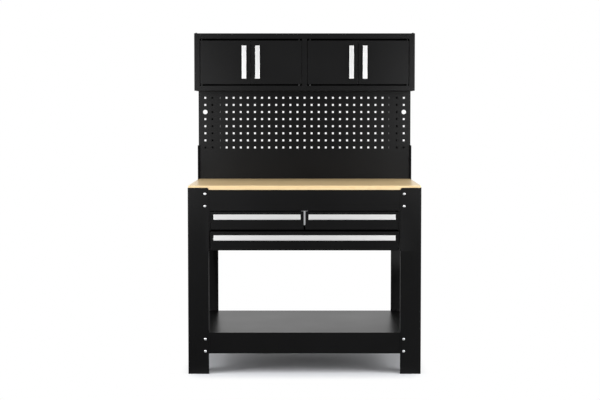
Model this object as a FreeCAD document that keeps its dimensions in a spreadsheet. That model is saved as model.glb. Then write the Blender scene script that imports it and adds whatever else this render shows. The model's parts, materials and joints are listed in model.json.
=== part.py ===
import FreeCAD, Part
import math
import os
import Sketcher

# Workbench with wall cabinets. Millimetres, +Z up, the front faces -Y, X = 0 is the middle,
# Z = 0 is the floor and Y = 0 is halfway between the drawer pulls' lips and the rear bolts' heads.
# The bolts have round heads over square necks, and their closed nuts hide the threads. What repeats
# often has few faces: heads, screws, spacers and the doors' pins are eight-sided.

SHEET = "Dims"

DIMENSIONS = {
    "bench_width": 1140,          # over the legs
    "leg_depth": 597,             # over the legs, front face to rear face
    "leg_face": 102,              # front or rear flange
    "leg_side": 80,               # side flange
    "leg_sheet": 2,
    "leg_bend": 4,                # outer radius of the folds
    "leg_lip": 15,                # inner lip, folded towards the bench's middle
    "lip_low": 212,
    "lip_high": 604,
    "leg_corner": 6,              # cut corner at the top of the leg's face
    "front_leg_top": 915,
    "rear_leg_top": 1105,
    "top_height": 925,
    "top_thick": 20,
    "top_round": 2,
    "top_corner": 4,
    "top_gap": 0.5,               # between the wooden top and the legs' side flanges
    "rail_tall": 102,
    "rail_sheet": 1.5,
    "rail_flange": 20,
    "rail_gap": 2,                # between the rails' ends
    "ear_inner": 460,             # the apron's ears begin here, from the middle
    "ear_low": 709,
    "shelf_height": 204,
    "shelf_sheet": 1.2,
    "rib_wide": 50,               # stiffening ribs under the shelf
    "rib_tall": 25,
    "rib_spread": 180,            # from the shelf's middle line to each rib
    "bolt_neck": 6,               # square neck under the bolt's round head
    "bolt_hole": 6.8,             # square hole for the neck
    "head_wide": 13,
    "head_tall": 4,
    "nut_flat": 10,
    "nut_tall": 8,
    "bolt_inset": 84.3,           # front and rear bolts, from the leg's side
    "side_bolt_inset": 61,        # side bolts, from the leg's front or rear face
    "bolt_pitch": 60,
    "top_bolt": 825,              # lower bolt of the pair in the top rails
    "low_bolt": 112,              # lower bolt of the pair in the bottom rails
    "wall_bolt": 945,             # lower bolt of the wall's side flange
    "wall_bolt_pitch": 146,
    "wall_bolt_inset": 24,        # from the leg's rear face
    "post_bolt": 965,             # lower bolt of the post
    "post_bolt_pitch": 100,
    "screw_size": 5,
    "screw_head": 9,
    "screw_head_tall": 3,
    "screw_long": 14,
    "screw_spread": 300,          # from the middle to each screw
    "case_half": 460,             # outside of the drawer case, from the middle
    "case_sheet": 1,
    "case_low": 610,
    "case_flange": 7,
    "case_front": 4,              # depth behind the legs' front face
    "case_rear": 592,
    "hanger_web": 8.5,
    "hanger_head": 34,
    "hanger_head_tall": 2,
    "hanger_low": 732,
    "hanger_front": 8,
    "hanger_wall": 1.2,
    "slide_wide": 12.7,
    "slide_tall": 45,
    "slide_sheet": 1.2,
    "slide_long": 450,
    "slide_front": 24,
    "channel_deep": 9.8,          # fixed member, from its web's back to its lips
    "channel_lip": 4,
    "runner_near": 2.2,           # intermediate member, from the fixed member's back
    "runner_far": 11.2,
    "runner_inset": 4.7,          # above its lower edge, the fixed member's is this much lower
    "runner_lip": 3.8,
    "bar_near": 4.8,              # inner member's free edges, from the fixed member's back
    "bar_inset": 9.3,
    "slide_lift": 6,              # of the upper slides above the middle of their boxes
    "front_half": 458.5,          # outer edge of the drawer fronts, from the middle
    "front_gap": 10.4,            # between the two upper fronts
    "front_depth": 3,             # the fronts' face, behind the legs' front face
    "front_thick": 16,
    "front_sheet": 1,
    "front_round": 1,
    "upper_front_low": 710,
    "upper_front_high": 798,
    "lower_front_low": 608,
    "lower_front_high": 700,
    "box_long": 460,
    "box_sheet": 1,
    "upper_box_low": 718,
    "upper_box_high": 788,
    "lower_box_low": 616,
    "lower_box_high": 692,
    "pull_reach": 8,              # lower lip, before the legs' front face
    "pull_tall": 25,
    "pull_sheet": 1.8,
    "pull_inset": 14.5,           # from the drawer front's outer edge
    "pull_low": 49.5,             # above the drawer front's lower edge
    "pull_crown": 2.6,            # thickness of its upper edge
    "pull_brow": 4.2,             # height of the lip's front
    "pull_heel": 3,               # its back above the finger gap, before the drawer front
    "pull_hollow": 6,             # the finger gap's top, below its upper edge
    "pull_seat": 12,              # height of the face that lies on the drawer front
    "board_depth": 553,           # the board's face, behind the legs' front face
    "board_sheet": 1,
    "board_top": 1425,
    "board_flange": 39,
    "board_foot": 15,
    "peg_pitch": 38,
    "peg_hole": 10,
    "peg_columns": 29,
    "peg_rows": 9,
    "peg_low": 1093,
    "cable_hole": 24,
    "cable_row": 5,               # rows above the lowest
    "post_inner": 453,
    "post_wide": 50,
    "post_sheet": 1.5,
    "post_lip": 20,
    "post_top": 1670,
    "cabinet_half": 566,
    "cabinet_low": 1393,
    "cabinet_high": 1686.5,
    "cabinet_depth": 310,         # the cabinet's face, behind the legs' front face
    "cabinet_sheet": 1,
    "stile_wide": 28,
    "upper_frame": 27.5,
    "lower_frame": 25,
    "frame_return": 15,
    "upper_return": 40,
    "rear_flange": 15,
    "bottom_drop": 6,             # rear edge of the cabinet's bottom, folded down over the top row of holes
    "centre_stile": 25.4,
    "tab_wide": 10,
    "tab_tall": 2.5,
    "tab_inset": 6,
    "door_outer_edge": 535,
    "door_inner_edge": 15.7,
    "door_meeting_gap": 3,
    "door_low": 1426.5,
    "door_high": 1649,
    "door_thick": 16,
    "door_sheet": 1,
    "door_setback": 1,
    "door_round": 1,
    "outer_pivot": 527.5,
    "inner_pivot": 28,
    "pivot_depth": 4.5,           # behind the door's face
    "pivot_size": 4.6,            # over its flats
    "pivot_slack": 0.5,           # over the flats, so that its corners turn freely in the door
    "pivot_reach": 8,
    "pivot_collar": 9,            # collar under each door
    "pivot_rest": 0.3,            # between the collar and the door
    "handle_wide": 22.5,
    "handle_tall": 169,
    "handle_thick": 6,
    "handle_stand": 13,
    "handle_offset": 34.5,        # from the doors' meeting line
    "handle_low": 1454,
    "handle_round": 1.5,
    "foot_wide": 12,
    "foot_inset": 16,
    "catch_wide": 60,
    "catch_tall": 19,
    "catch_thick": 18,
    "catch_gap": 0.5,
    "spacer_wide": 16,            # spacers between the cabinet and the posts
    "cabinet_bolt_inset": 12,     # from the post's inner side
    "cabinet_bolt_low": 1460,
    "cabinet_bolt_pitch": 180,
}

doc = FreeCAD.newDocument("Workbench")
sub_parts = []


class Size:
    """A length in mm, with the sheet expression that gives it."""

    def __init__(self, value, text):
        self.value = float(value)
        self.text = text

    def __add__(self, other):
        other = as_size(other)
        return Size(self.value + other.value, f"({self.text} + {other.text})")

    def __sub__(self, other):
        other = as_size(other)
        return Size(self.value - other.value, f"({self.text} - {other.text})")

    def __mul__(self, factor):
        return Size(self.value * factor, f"({self.text} * {factor})")

    def __truediv__(self, factor):
        return Size(self.value / factor, f"({self.text} / {factor})")

    def __neg__(self):
        return self * -1


def as_size(length):
    """Take a plain number or a Size and return a Size."""
    if isinstance(length, Size):
        return length
    return Size(length, str(float(length)))


class Dimensions:
    """The driving dimensions as attributes, each a Size that names its cell."""


def fill_sheet():
    """Write the driving dimensions to the spreadsheet and return them as Sizes."""
    sheet = doc.addObject("Spreadsheet::Sheet", SHEET)
    dims = Dimensions()
    for row, (alias, value) in enumerate(DIMENSIONS.items(), start=1):
        sheet.set(f"A{row}", alias)
        sheet.set(f"B{row}", str(value))
        sheet.setAlias(f"B{row}", alias)
        setattr(dims, alias, Size(value, f"{SHEET}.{alias}"))
    doc.recompute()
    return dims


d = fill_sheet()

# Places that several pieces share.
HALF = d.bench_width / 2
INSIDE = HALF - d.leg_sheet
FRONT = (d.leg_depth + d.head_tall - d.pull_reach) / -2
REAR = FRONT + d.leg_depth
TOP_UNDER = d.top_height - d.top_thick
TOP_RAIL_LOW = TOP_UNDER - d.rail_tall
LOW_RAIL_TOP = d.shelf_height - d.shelf_sheet
BOLT_ROWS = [d.low_bolt, d.low_bolt + d.bolt_pitch, d.top_bolt, d.top_bolt + d.bolt_pitch]
WALL_ROWS = [d.wall_bolt, d.wall_bolt + d.wall_bolt_pitch]
POST_ROWS = [d.post_bolt, d.post_bolt + d.post_bolt_pitch]
BOLT_X = HALF - d.bolt_inset
FRONT_BOLT_Y = FRONT + d.side_bolt_inset
REAR_BOLT_Y = REAR - d.side_bolt_inset
WALL_BOLT_Y = REAR - d.wall_bolt_inset
BOARD_FACE = FRONT + d.board_depth
CABINET_FACE = FRONT + d.cabinet_depth
DOOR_FACE = CABINET_FACE + d.door_setback
SCREW_ROWS = [FRONT + d.leg_sheet + d.rail_flange / 2, REAR - d.leg_sheet - d.rail_flange / 2]
SCREW_COLUMNS = [-d.screw_spread, d.screw_spread]
SCREW_PLACES = [(x, y) for y in SCREW_ROWS for x in SCREW_COLUMNS]
CABINET_ROWS = [d.cabinet_bolt_low, d.cabinet_bolt_low + d.cabinet_bolt_pitch]
PIVOT_PLACES = [-d.outer_pivot, -d.inner_pivot, d.inner_pivot, d.outer_pivot]
LEFT, RIGHT = -1, 1


def origin_plane(body, role):
    """Find one of the body's own origin planes."""
    for feature in body.Origin.OriginFeatures:
        if feature.Role == role:
            return feature
    raise ValueError(role)


def new_body(label, many=False):
    """Start a sub-part. A body of several equal pieces is a compound."""
    body = doc.addObject("PartDesign::Body", label)
    body.Label = label
    body.AllowCompound = many
    sub_parts.append(body)
    return body


def new_sketch(body, plane, start):
    """Sketch on XY, XZ or YZ, moved to where the cut or pad begins on the third axis."""
    sketch = body.newObject("Sketcher::SketchObject", f"{body.Label}_sketch")
    sketch.AttachmentSupport = [(origin_plane(body, f"{plane}_Plane"), "")]
    sketch.MapMode = "FlatFace"
    start = as_size(start)
    offset = -start if plane == "XZ" else start
    sketch.AttachmentOffset = FreeCAD.Placement(FreeCAD.Vector(0, 0, offset.value), FreeCAD.Rotation())
    sketch.setExpression("AttachmentOffset.Base.z", offset.text)
    return sketch


def hold(sketch, kind, geometry, point, length):
    """Dimension one point from the sketch's origin, or put it on the axis."""
    if abs(length.value) < 1e-9:
        axis = -2 if kind == "DistanceX" else -1
        sketch.addConstraint(Sketcher.Constraint("PointOnObject", geometry, point, axis))
        return
    index = sketch.addConstraint(Sketcher.Constraint(kind, -1, 1, geometry, point, length.value))
    sketch.setExpression(f"Constraints[{index}]", length.text)


def draw_outline(sketch, corners):
    """Close a polygon. Level and upright edges are held so, and each line is dimensioned once."""
    corners = [(as_size(x), as_size(y)) for x, y in corners]
    count = len(corners)
    first = sketch.GeometryCount
    for i in range(count):
        start, end = corners[i], corners[(i + 1) % count]
        line = Part.LineSegment(
            FreeCAD.Vector(start[0].value, start[1].value, 0),
            FreeCAD.Vector(end[0].value, end[1].value, 0),
        )
        sketch.addGeometry(line, False)
    for i in range(count):
        sketch.addConstraint(Sketcher.Constraint("Coincident", first + i, 2, first + (i + 1) % count, 1))
    for i in range(count):
        before, here, after = corners[i - 1], corners[i], corners[(i + 1) % count]
        if abs(after[1].value - here[1].value) < 1e-9:
            sketch.addConstraint(Sketcher.Constraint("Horizontal", first + i))
        if abs(after[0].value - here[0].value) < 1e-9:
            sketch.addConstraint(Sketcher.Constraint("Vertical", first + i))
        if abs(before[0].value - here[0].value) > 1e-9:
            hold(sketch, "DistanceX", first + i, 1, here[0])
        if abs(before[1].value - here[1].value) > 1e-9:
            hold(sketch, "DistanceY", first + i, 1, here[1])


def draw_circles(sketch, centres, diameter):
    """Equal circles, the first one dimensioned."""
    diameter = as_size(diameter)
    first = sketch.GeometryCount
    for i, (x, y) in enumerate(centres):
        x, y = as_size(x), as_size(y)
        middle = FreeCAD.Vector(x.value, y.value, 0)
        circle = Part.Circle(middle, FreeCAD.Vector(0, 0, 1), diameter.value / 2)
        sketch.addGeometry(circle, False)
        hold(sketch, "DistanceX", first + i, 3, x)
        hold(sketch, "DistanceY", first + i, 3, y)
        if i == 0:
            index = sketch.addConstraint(Sketcher.Constraint("Diameter", first, diameter.value))
            sketch.setExpression(f"Constraints[{index}]", diameter.text)
        else:
            sketch.addConstraint(Sketcher.Constraint("Equal", first, first + i))


def rectangle(x0, y0, x1, y1):
    """The corners of an upright rectangle."""
    return [(x0, y0), (x1, y0), (x1, y1), (x0, y1)]


def squares(centres, side):
    """Square holes around their centres."""
    half = side / 2
    return [
        rectangle(as_size(x) - half, as_size(y) - half, as_size(x) + half, as_size(y) + half)
        for x, y in centres
    ]


def octagons(centres, flat):
    """Octagons around their centres, given over their flats."""
    far = flat / 2
    near = far * math.tan(math.radians(22.5))
    steps = [
        (far, -near), (far, near), (near, far), (-near, far),
        (-far, near), (-far, -near), (-near, -far), (near, -far),
    ]
    return [[(as_size(x) + dx, as_size(y) + dy) for dx, dy in steps] for x, y in centres]


def draw_shapes(sketch, outlines, circles, diameter):
    """Draw what one pad or pocket needs."""
    for corners in outlines:
        draw_outline(sketch, corners)
    if circles:
        draw_circles(sketch, circles, diameter)


def pad(body, plane, start, length, outlines=(), circles=(), diameter=None):
    """Add material from start towards the plane's third axis."""
    sketch = new_sketch(body, plane, start)
    draw_shapes(sketch, outlines, circles, diameter)
    feature = body.newObject("PartDesign::Pad", f"{body.Label}_pad")
    feature.Profile = sketch
    feature.Reversed = plane == "XZ"
    length = as_size(length)
    feature.Length = length.value
    feature.setExpression("Length", length.text)
    doc.recompute()
    return feature


def cut(body, plane, start, length, outlines=(), circles=(), diameter=None):
    """Take material away from start towards the plane's third axis."""
    before = body.Shape.Volume
    sketch = new_sketch(body, plane, start)
    draw_shapes(sketch, outlines, circles, diameter)
    feature = body.newObject("PartDesign::Pocket", f"{body.Label}_pocket")
    feature.Profile = sketch
    feature.Reversed = plane != "XZ"
    length = as_size(length)
    feature.Length = length.value
    feature.setExpression("Length", length.text)
    doc.recompute()
    if not body.Shape.Volume < before:
        raise RuntimeError(f"a pocket in {body.Label} removes nothing")
    return feature


def edges_along(shape, direction, places):
    """Names of the straight edges that run along a direction and pass through one of the places.

    A place is a dictionary of coordinates, such as {"x": 10, "z": 5}.
    """
    axis = {"x": 0, "y": 1, "z": 2}[direction]
    found = []
    for number, edge in enumerate(shape.Edges, start=1):
        if len(edge.Vertexes) != 2 or not isinstance(edge.Curve, Part.Line):
            continue
        run = edge.Vertexes[1].Point - edge.Vertexes[0].Point
        if abs(abs(run[axis]) - run.Length) > 1e-6:
            continue
        middle = edge.CenterOfMass
        for place in places:
            if all(abs(getattr(middle, key) - as_size(at).value) < 1e-4 for key, at in place.items()):
                found.append(f"Edge{number}")
                break
    return found


def round_edges(body, direction, places, radius, kind="Fillet"):
    """Fillet or chamfer the edges of the body's tip that pass through the places."""
    base = body.Tip
    names = edges_along(base.Shape, direction, places)
    if not names:
        raise RuntimeError(f"no edges to round in {body.Label}")
    feature = body.newObject(f"PartDesign::{kind}", f"{body.Label}_{kind.lower()}")
    feature.Base = (base, names)
    size_name = "Radius" if kind == "Fillet" else "Size"
    radius = as_size(radius)
    setattr(feature, size_name, radius.value)
    feature.setExpression(size_name, radius.text)
    doc.recompute()
    return feature


def make_leg(label, side, front):
    """An angle leg with a folded outer corner, an inner lip between the rails, and its bolt holes."""
    face = FRONT if front else REAR
    inward = 1 if front else -1
    top = d.front_leg_top if front else d.rear_leg_top
    outer, inner = HALF * side, INSIDE * side
    edge = (HALF - d.leg_face) * side
    back = face + d.leg_sheet * inward
    side_end = face + d.leg_side * inward
    body = new_body(label)
    angle = [(outer, side_end), (outer, face), (edge, face), (edge, back), (inner, back), (inner, side_end)]
    pad(body, "XY", 0, top, [angle])
    lip_back = edge + d.leg_sheet * side
    lip = rectangle(edge, face, lip_back, face + d.leg_lip * inward)
    pad(body, "XY", d.lip_low, d.lip_high - d.lip_low, [lip])
    round_edges(body, "z", [{"x": outer, "y": face}], d.leg_bend)
    round_edges(body, "z", [{"x": inner, "y": back}], d.leg_bend - d.leg_sheet)
    corner = [(edge, top), (edge, top - d.leg_corner), (edge + d.leg_corner * side, top)]
    sheet_start = face if front else back
    cut(body, "XZ", sheet_start, d.leg_sheet, [corner])
    face_rows = BOLT_ROWS if front else BOLT_ROWS + POST_ROWS
    face_holes = [(BOLT_X * side, row) for row in face_rows]
    side_y = FRONT_BOLT_Y if front else REAR_BOLT_Y
    side_holes = [(side_y, row) for row in BOLT_ROWS]
    if not front:
        side_holes += [(WALL_BOLT_Y, row) for row in WALL_ROWS]
    cut(body, "XZ", sheet_start, d.leg_sheet, squares(face_holes, d.bolt_hole))
    side_start = inner if side == RIGHT else outer
    cut(body, "YZ", side_start, d.leg_sheet, squares(side_holes, d.bolt_hole))


def channel(near, far_sign, low, high, sheet, flange):
    """Outline of a folded channel: the web at near, its two flanges folded towards far_sign."""
    web = near + sheet * far_sign
    end = near + flange * far_sign
    return [
        (near, low), (end, low), (end, low + sheet), (web, low + sheet),
        (web, high - sheet), (end, high - sheet), (end, high), (near, high),
    ]


def make_cross_rail(label, front, low, rows, ears=False):
    """A rail along X behind the front or rear legs' faces."""
    sign = 1 if front else -1
    near = (FRONT if front else REAR) + d.leg_sheet * sign
    high = low + d.rail_tall
    half_long = INSIDE - d.rail_gap
    body = new_body(label)
    outline = channel(near, sign, low, high, d.rail_sheet, d.rail_flange)
    pad(body, "YZ", -half_long, half_long * 2, [outline])
    sheet_start = near if front else near - d.rail_sheet
    if ears:
        ear_high = low + d.rail_sheet
        plates = [rectangle(d.ear_inner * s, d.ear_low, half_long * s, ear_high) for s in (LEFT, RIGHT)]
        pad(body, "XZ", sheet_start, d.rail_sheet, plates)
    holes = [(BOLT_X * s, row) for s in (LEFT, RIGHT) for row in rows]
    cut(body, "XZ", sheet_start, d.rail_sheet, squares(holes, d.bolt_hole))
    return body


def make_side_rail(label, side, low, rows):
    """A rail along Y inside the side flanges of a front and a rear leg."""
    near = INSIDE * side
    high = low + d.rail_tall
    gap = d.leg_sheet + d.rail_flange + d.rail_gap
    start = FRONT + gap
    body = new_body(label)
    outline = channel(near, -side, low, high, d.rail_sheet, d.rail_flange)
    pad(body, "XZ", start, d.leg_depth - gap * 2, [outline])
    holes = [(y, row) for y in (FRONT_BOLT_Y, REAR_BOLT_Y) for row in rows]
    sheet_start = near - d.rail_sheet if side == RIGHT else near
    cut(body, "YZ", sheet_start, d.rail_sheet, squares(holes, d.bolt_hole))


def drill_flanges(rail, row):
    """Screw holes through both flanges of a top rail."""
    holes = [(x, row) for x in SCREW_COLUMNS]
    for height in (TOP_UNDER - d.rail_sheet, TOP_RAIL_LOW):
        cut(rail, "XY", height, d.rail_sheet, octagons(holes, d.screw_size))


def make_frame():
    """Legs, rails, shelf and wooden top."""
    for name, side in (("left", LEFT), ("right", RIGHT)):
        make_leg(f"front_leg_{name}", side, True)
        make_leg(f"rear_leg_{name}", side, False)
    top_rows, low_rows = BOLT_ROWS[2:], BOLT_ROWS[:2]
    low = LOW_RAIL_TOP - d.rail_tall
    for name, front, row in (("front", True, SCREW_ROWS[0]), ("rear", False, SCREW_ROWS[1])):
        rail = make_cross_rail(f"top_rail_{name}", front, TOP_RAIL_LOW, top_rows, ears=front)
        drill_flanges(rail, row)
        make_cross_rail(f"bottom_rail_{name}", front, low, low_rows)
    for name, side in (("left", LEFT), ("right", RIGHT)):
        make_side_rail(f"top_rail_{name}", side, TOP_RAIL_LOW, top_rows)
        make_side_rail(f"bottom_rail_{name}", side, low, low_rows)
    make_shelf()
    make_worktop()


def make_shelf():
    """A flat sheet on the lower rails' flanges, with two hat ribs below it."""
    body = new_body("shelf")
    half = INSIDE - d.rail_sheet - d.top_gap
    start = FRONT + d.leg_sheet
    plate = rectangle(-half, start, half, REAR - d.leg_sheet)
    pad(body, "XY", LOW_RAIL_TOP, d.shelf_sheet, [plate])
    rib_half = half - d.rail_flange - d.rail_gap
    middle = (FRONT + REAR) / 2
    ribs = []
    for sign in (-1, 1):
        centre = middle + d.rib_spread * sign
        near, far = centre - d.rib_wide / 2, centre + d.rib_wide / 2
        low = LOW_RAIL_TOP - d.rib_tall
        sheet = d.shelf_sheet
        ribs.append([
            (near, LOW_RAIL_TOP), (near, low), (far, low), (far, LOW_RAIL_TOP),
            (far - sheet, LOW_RAIL_TOP), (far - sheet, low + sheet),
            (near + sheet, low + sheet), (near + sheet, LOW_RAIL_TOP),
        ])
    pad(body, "YZ", -rib_half, rib_half * 2, ribs)


def make_worktop():
    """The wooden board inside the legs' corners."""
    body = new_body("worktop")
    half = INSIDE - d.top_gap
    near, far = FRONT + d.leg_sheet, REAR - d.leg_sheet
    pad(body, "XY", TOP_UNDER, d.top_thick, [rectangle(-half, near, half, far)])
    corners = [{"x": half * side, "y": y} for side in (LEFT, RIGHT) for y in (near, far)]
    round_edges(body, "z", corners, d.top_corner, kind="Chamfer")
    round_edges(body, "x", [{"y": near, "z": d.top_height}], d.top_round, kind="Chamfer")
    cut(body, "XY", TOP_UNDER, d.screw_long - d.rail_sheet, octagons(SCREW_PLACES, d.screw_size))


def make_case():
    """The drawer case: top plate with two sides, its back and the hanger between the upper drawers."""
    body = new_body("drawer_case")
    start = FRONT + d.case_front
    long = d.case_rear - d.case_front
    high = TOP_RAIL_LOW
    outer, inner = d.case_half, d.case_half - d.case_sheet
    foot = outer + d.case_flange
    sheet = d.case_sheet
    outline = [
        (-foot, d.case_low), (-inner, d.case_low), (-inner, high - sheet), (inner, high - sheet),
        (inner, d.case_low), (foot, d.case_low), (foot, d.case_low + sheet), (outer, d.case_low + sheet),
        (outer, high), (-outer, high), (-outer, d.case_low + sheet), (-foot, d.case_low + sheet),
    ]
    pad(body, "XZ", start, long, [outline])
    cut(body, "XY", high - sheet, sheet, octagons(SCREW_PLACES, d.screw_size))

    back = new_body("case_back")
    plate = rectangle(-inner, d.case_low, inner, high - sheet)
    pad(back, "XZ", FRONT + d.case_rear - sheet * 2, sheet, [plate])

    hanger = new_body("centre_hanger")
    front = FRONT + d.hanger_front
    web, head = d.hanger_web / 2, d.hanger_head / 2
    top = high - sheet
    neck = top - d.hanger_head_tall
    tee = [
        (-web, d.hanger_low), (web, d.hanger_low), (web, neck), (head, neck),
        (head, top), (-head, top), (-head, neck), (-web, neck),
    ]
    length = d.slide_front + d.slide_long - d.hanger_front
    pad(hanger, "XZ", front, length, [tee])
    wall = d.hanger_wall
    hollow = rectangle(wall - web, d.hanger_low + wall, web - wall, neck)
    cut(hanger, "XZ", front + wall, length - wall, [hollow])


def slide_outline(face, sign, middle, near, far, half, lip):
    """Outline of one slide member, a lipped channel. Its web is at near, its lips at far."""
    sheet = d.slide_sheet
    turn = 1 if far.value > near.value else -1
    back, web = face + near * sign, face + (near + sheet * turn) * sign
    mouth, end = face + (far - sheet * turn) * sign, face + far * sign
    low, high = middle - half, middle + half
    outline = [(back, low), (end, low)]
    if lip:
        outline += [(end, low + lip), (mouth, low + lip), (mouth, low + sheet)]
    else:
        outline += [(end, low + sheet)]
    outline += [(web, low + sheet), (web, high - sheet)]
    if lip:
        outline += [(mouth, high - sheet), (mouth, high - lip), (end, high - lip)]
    else:
        outline += [(end, high - sheet)]
    return outline + [(end, high), (back, high)]


def make_slides(drawer, faces, middle):
    """Fixed channels, intermediate runners and inner bars, a pair of each for one drawer."""
    half = d.slide_tall / 2
    members = (
        ("slide_channels", as_size(0), d.channel_deep, half, d.channel_lip),
        ("slide_runners", d.runner_near, d.runner_far, half - d.runner_inset, d.runner_lip),
        ("slide_bars", d.slide_wide, d.bar_near, half - d.bar_inset, None),
    )
    for name, near, far, tall, lip in members:
        body = new_body(f"{name}_{drawer}", many=True)
        outlines = [slide_outline(face, sign, middle, near, far, tall, lip) for face, sign in faces]
        pad(body, "XZ", FRONT + d.slide_front, d.slide_long, outlines)


def make_drawer(drawer, low, high, box_low, box_high, span, box_span):
    """One drawer's front, pull and box. The spans are the lowest and highest X."""
    sheet = d.front_sheet
    face = FRONT + d.front_depth
    front = new_body(f"drawer_front_{drawer}")
    pad(front, "XZ", face, d.front_thick, [rectangle(span[0], low, span[1], high)])
    hollow = rectangle(span[0] + sheet, low + sheet, span[1] - sheet, high - sheet)
    cut(front, "XZ", face + sheet, d.front_thick - sheet, [hollow])
    ends = [{"x": x, "y": face} for x in span] + [{"y": face, "z": z} for z in (low, high)]
    round_edges(front, "z", ends[:2], d.front_round, kind="Chamfer")
    round_edges(front, "x", ends[2:], d.front_round, kind="Chamfer")

    pull = new_body(f"drawer_pull_{drawer}")
    lip = FRONT - d.pull_reach
    z0, z1 = low + d.pull_low, low + d.pull_low + d.pull_tall
    brow = z0 + d.pull_brow
    seat = z1 - d.pull_seat
    thick = d.pull_sheet
    profile = [
        (face, z1), (face - d.pull_crown, z1), (lip, brow), (lip, z0), (lip + thick, z0), (lip + thick, brow),
        (face - d.pull_heel, z1 - d.pull_hollow), (face - thick, seat), (face, seat),
    ]
    pull_start = span[0] + d.pull_inset
    pad(pull, "YZ", pull_start, span[1] - span[0] - d.pull_inset * 2, [profile])

    box = new_body(f"drawer_box_{drawer}")
    start = face + d.front_thick
    wall = d.box_sheet
    pad(box, "XZ", start, d.box_long, [rectangle(box_span[0], box_low, box_span[1], box_high)])
    inside = rectangle(box_span[0] + wall, start + wall, box_span[1] - wall, start + d.box_long - wall)
    cut(box, "XY", box_low + wall, box_high - box_low - wall, [inside])
    return front, pull, box


def make_drawers():
    """Two upper drawers and one wide drawer, with their slides."""
    case_face = d.case_half - d.case_sheet
    web = d.hanger_web / 2
    outer_box = case_face - d.slide_wide
    inner_box = web + d.slide_wide
    heights = (d.upper_front_low, d.upper_front_high, d.upper_box_low, d.upper_box_high)
    middle = (d.upper_box_low + d.upper_box_high) / 2 + d.slide_lift
    for name, side in (("left", LEFT), ("right", RIGHT)):
        drawer = f"top_{name}"
        faces = [(case_face * side, -side), (web * side, side)]
        make_slides(drawer, faces, middle)
        span = sorted((d.front_half * side, d.front_gap / 2 * side), key=lambda length: length.value)
        box = sorted((outer_box * side, inner_box * side), key=lambda length: length.value)
        make_drawer(drawer, *heights, span, box)
    heights = (d.lower_front_low, d.lower_front_high, d.lower_box_low, d.lower_box_high)
    middle = (d.lower_box_low + d.lower_box_high) / 2
    make_slides("wide", [(-case_face, 1), (case_face, -1)], middle)
    make_drawer("wide", *heights, (-d.front_half, d.front_half), (-outer_box, outer_box))


def make_pegboard():
    """The perforated tray on the worktop: side flanges, a foot flange, the holes and two cable holes."""
    body = new_body("pegboard")
    face, back = BOARD_FACE, BOARD_FACE + d.board_sheet
    inner = INSIDE - d.board_sheet
    end = face + d.board_flange
    tray = [
        (-INSIDE, face), (INSIDE, face), (INSIDE, end), (inner, end),
        (inner, back), (-inner, back), (-inner, end), (-INSIDE, end),
    ]
    pad(body, "XY", d.top_height, d.board_top - d.top_height, [tray])
    foot = rectangle(-inner, back, inner, face + d.board_foot)
    pad(body, "XY", d.top_height, d.board_sheet, [foot])
    round_edges(body, "z", [{"x": -INSIDE, "y": face}, {"x": INSIDE, "y": face}], d.board_sheet)
    wall_holes = [(WALL_BOLT_Y, row) for row in WALL_ROWS]
    cut(body, "YZ", -INSIDE, INSIDE * 2, squares(wall_holes, d.bolt_hole))

    half_hole = d.peg_hole / 2
    first_x = d.peg_pitch * (-(DIMENSIONS["peg_columns"] - 1) / 2)
    corner = rectangle(first_x - half_hole, d.peg_low - half_hole, first_x + half_hole, d.peg_low + half_hole)
    hole = cut(body, "XZ", face, d.board_sheet, [corner])
    grid = body.newObject("PartDesign::MultiTransform", "peg_grid")
    steps = []
    for axis, count in (("H_Axis", "peg_columns"), ("V_Axis", "peg_rows")):
        step = body.newObject("PartDesign::LinearPattern", f"peg_{count}")
        step.Direction = (hole.Profile[0], [axis])
        span = d.peg_pitch * (DIMENSIONS[count] - 1)
        step.Length = span.value
        step.setExpression("Length", f"{SHEET}.peg_pitch * ({SHEET}.{count} - 1)")
        step.Occurrences = DIMENSIONS[count]
        step.setExpression("Occurrences", f"{SHEET}.{count}")
        steps.append(step)
    before = body.Shape.Volume
    grid.Originals = [hole]
    grid.Transformations = steps
    body.Tip = grid
    doc.recompute()
    if not body.Shape.Volume < before:
        raise RuntimeError("the perforation removes nothing")
    row = d.peg_low + d.peg_pitch * DIMENSIONS["cable_row"]
    cut(body, "XZ", face, d.board_sheet, circles=[(first_x, row), (-first_x, row)], diameter=d.cable_hole)


def make_post(label, side):
    """An upright channel behind the board, its web against the rear leg, with a lip on the inner side."""
    body = new_body(label)
    near, far = d.post_inner * side, (d.post_inner + d.post_wide) * side
    sheet = d.post_sheet
    front, rear = BOARD_FACE + d.board_sheet, REAR - d.leg_sheet
    inner_near, inner_far = near + sheet * side, far - sheet * side
    lip_near = near + d.post_lip * side
    outline = [
        (near, rear), (near, front), (lip_near, front), (lip_near, front + sheet),
        (inner_near, front + sheet), (inner_near, rear - sheet), (inner_far, rear - sheet),
        (inner_far, front), (far, front), (far, rear),
    ]
    low = d.top_height + d.board_sheet
    pad(body, "XY", low, d.post_top - low, [outline])
    holes = [(BOLT_X * side, row) for row in POST_ROWS]
    cut(body, "XZ", rear - sheet, sheet, squares(holes, d.bolt_hole))
    bolt_x = (d.post_inner + d.cabinet_bolt_inset) * side
    bolts = [(bolt_x, row) for row in CABINET_ROWS]
    cut(body, "XZ", front, sheet, squares(bolts, d.bolt_hole))


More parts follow.
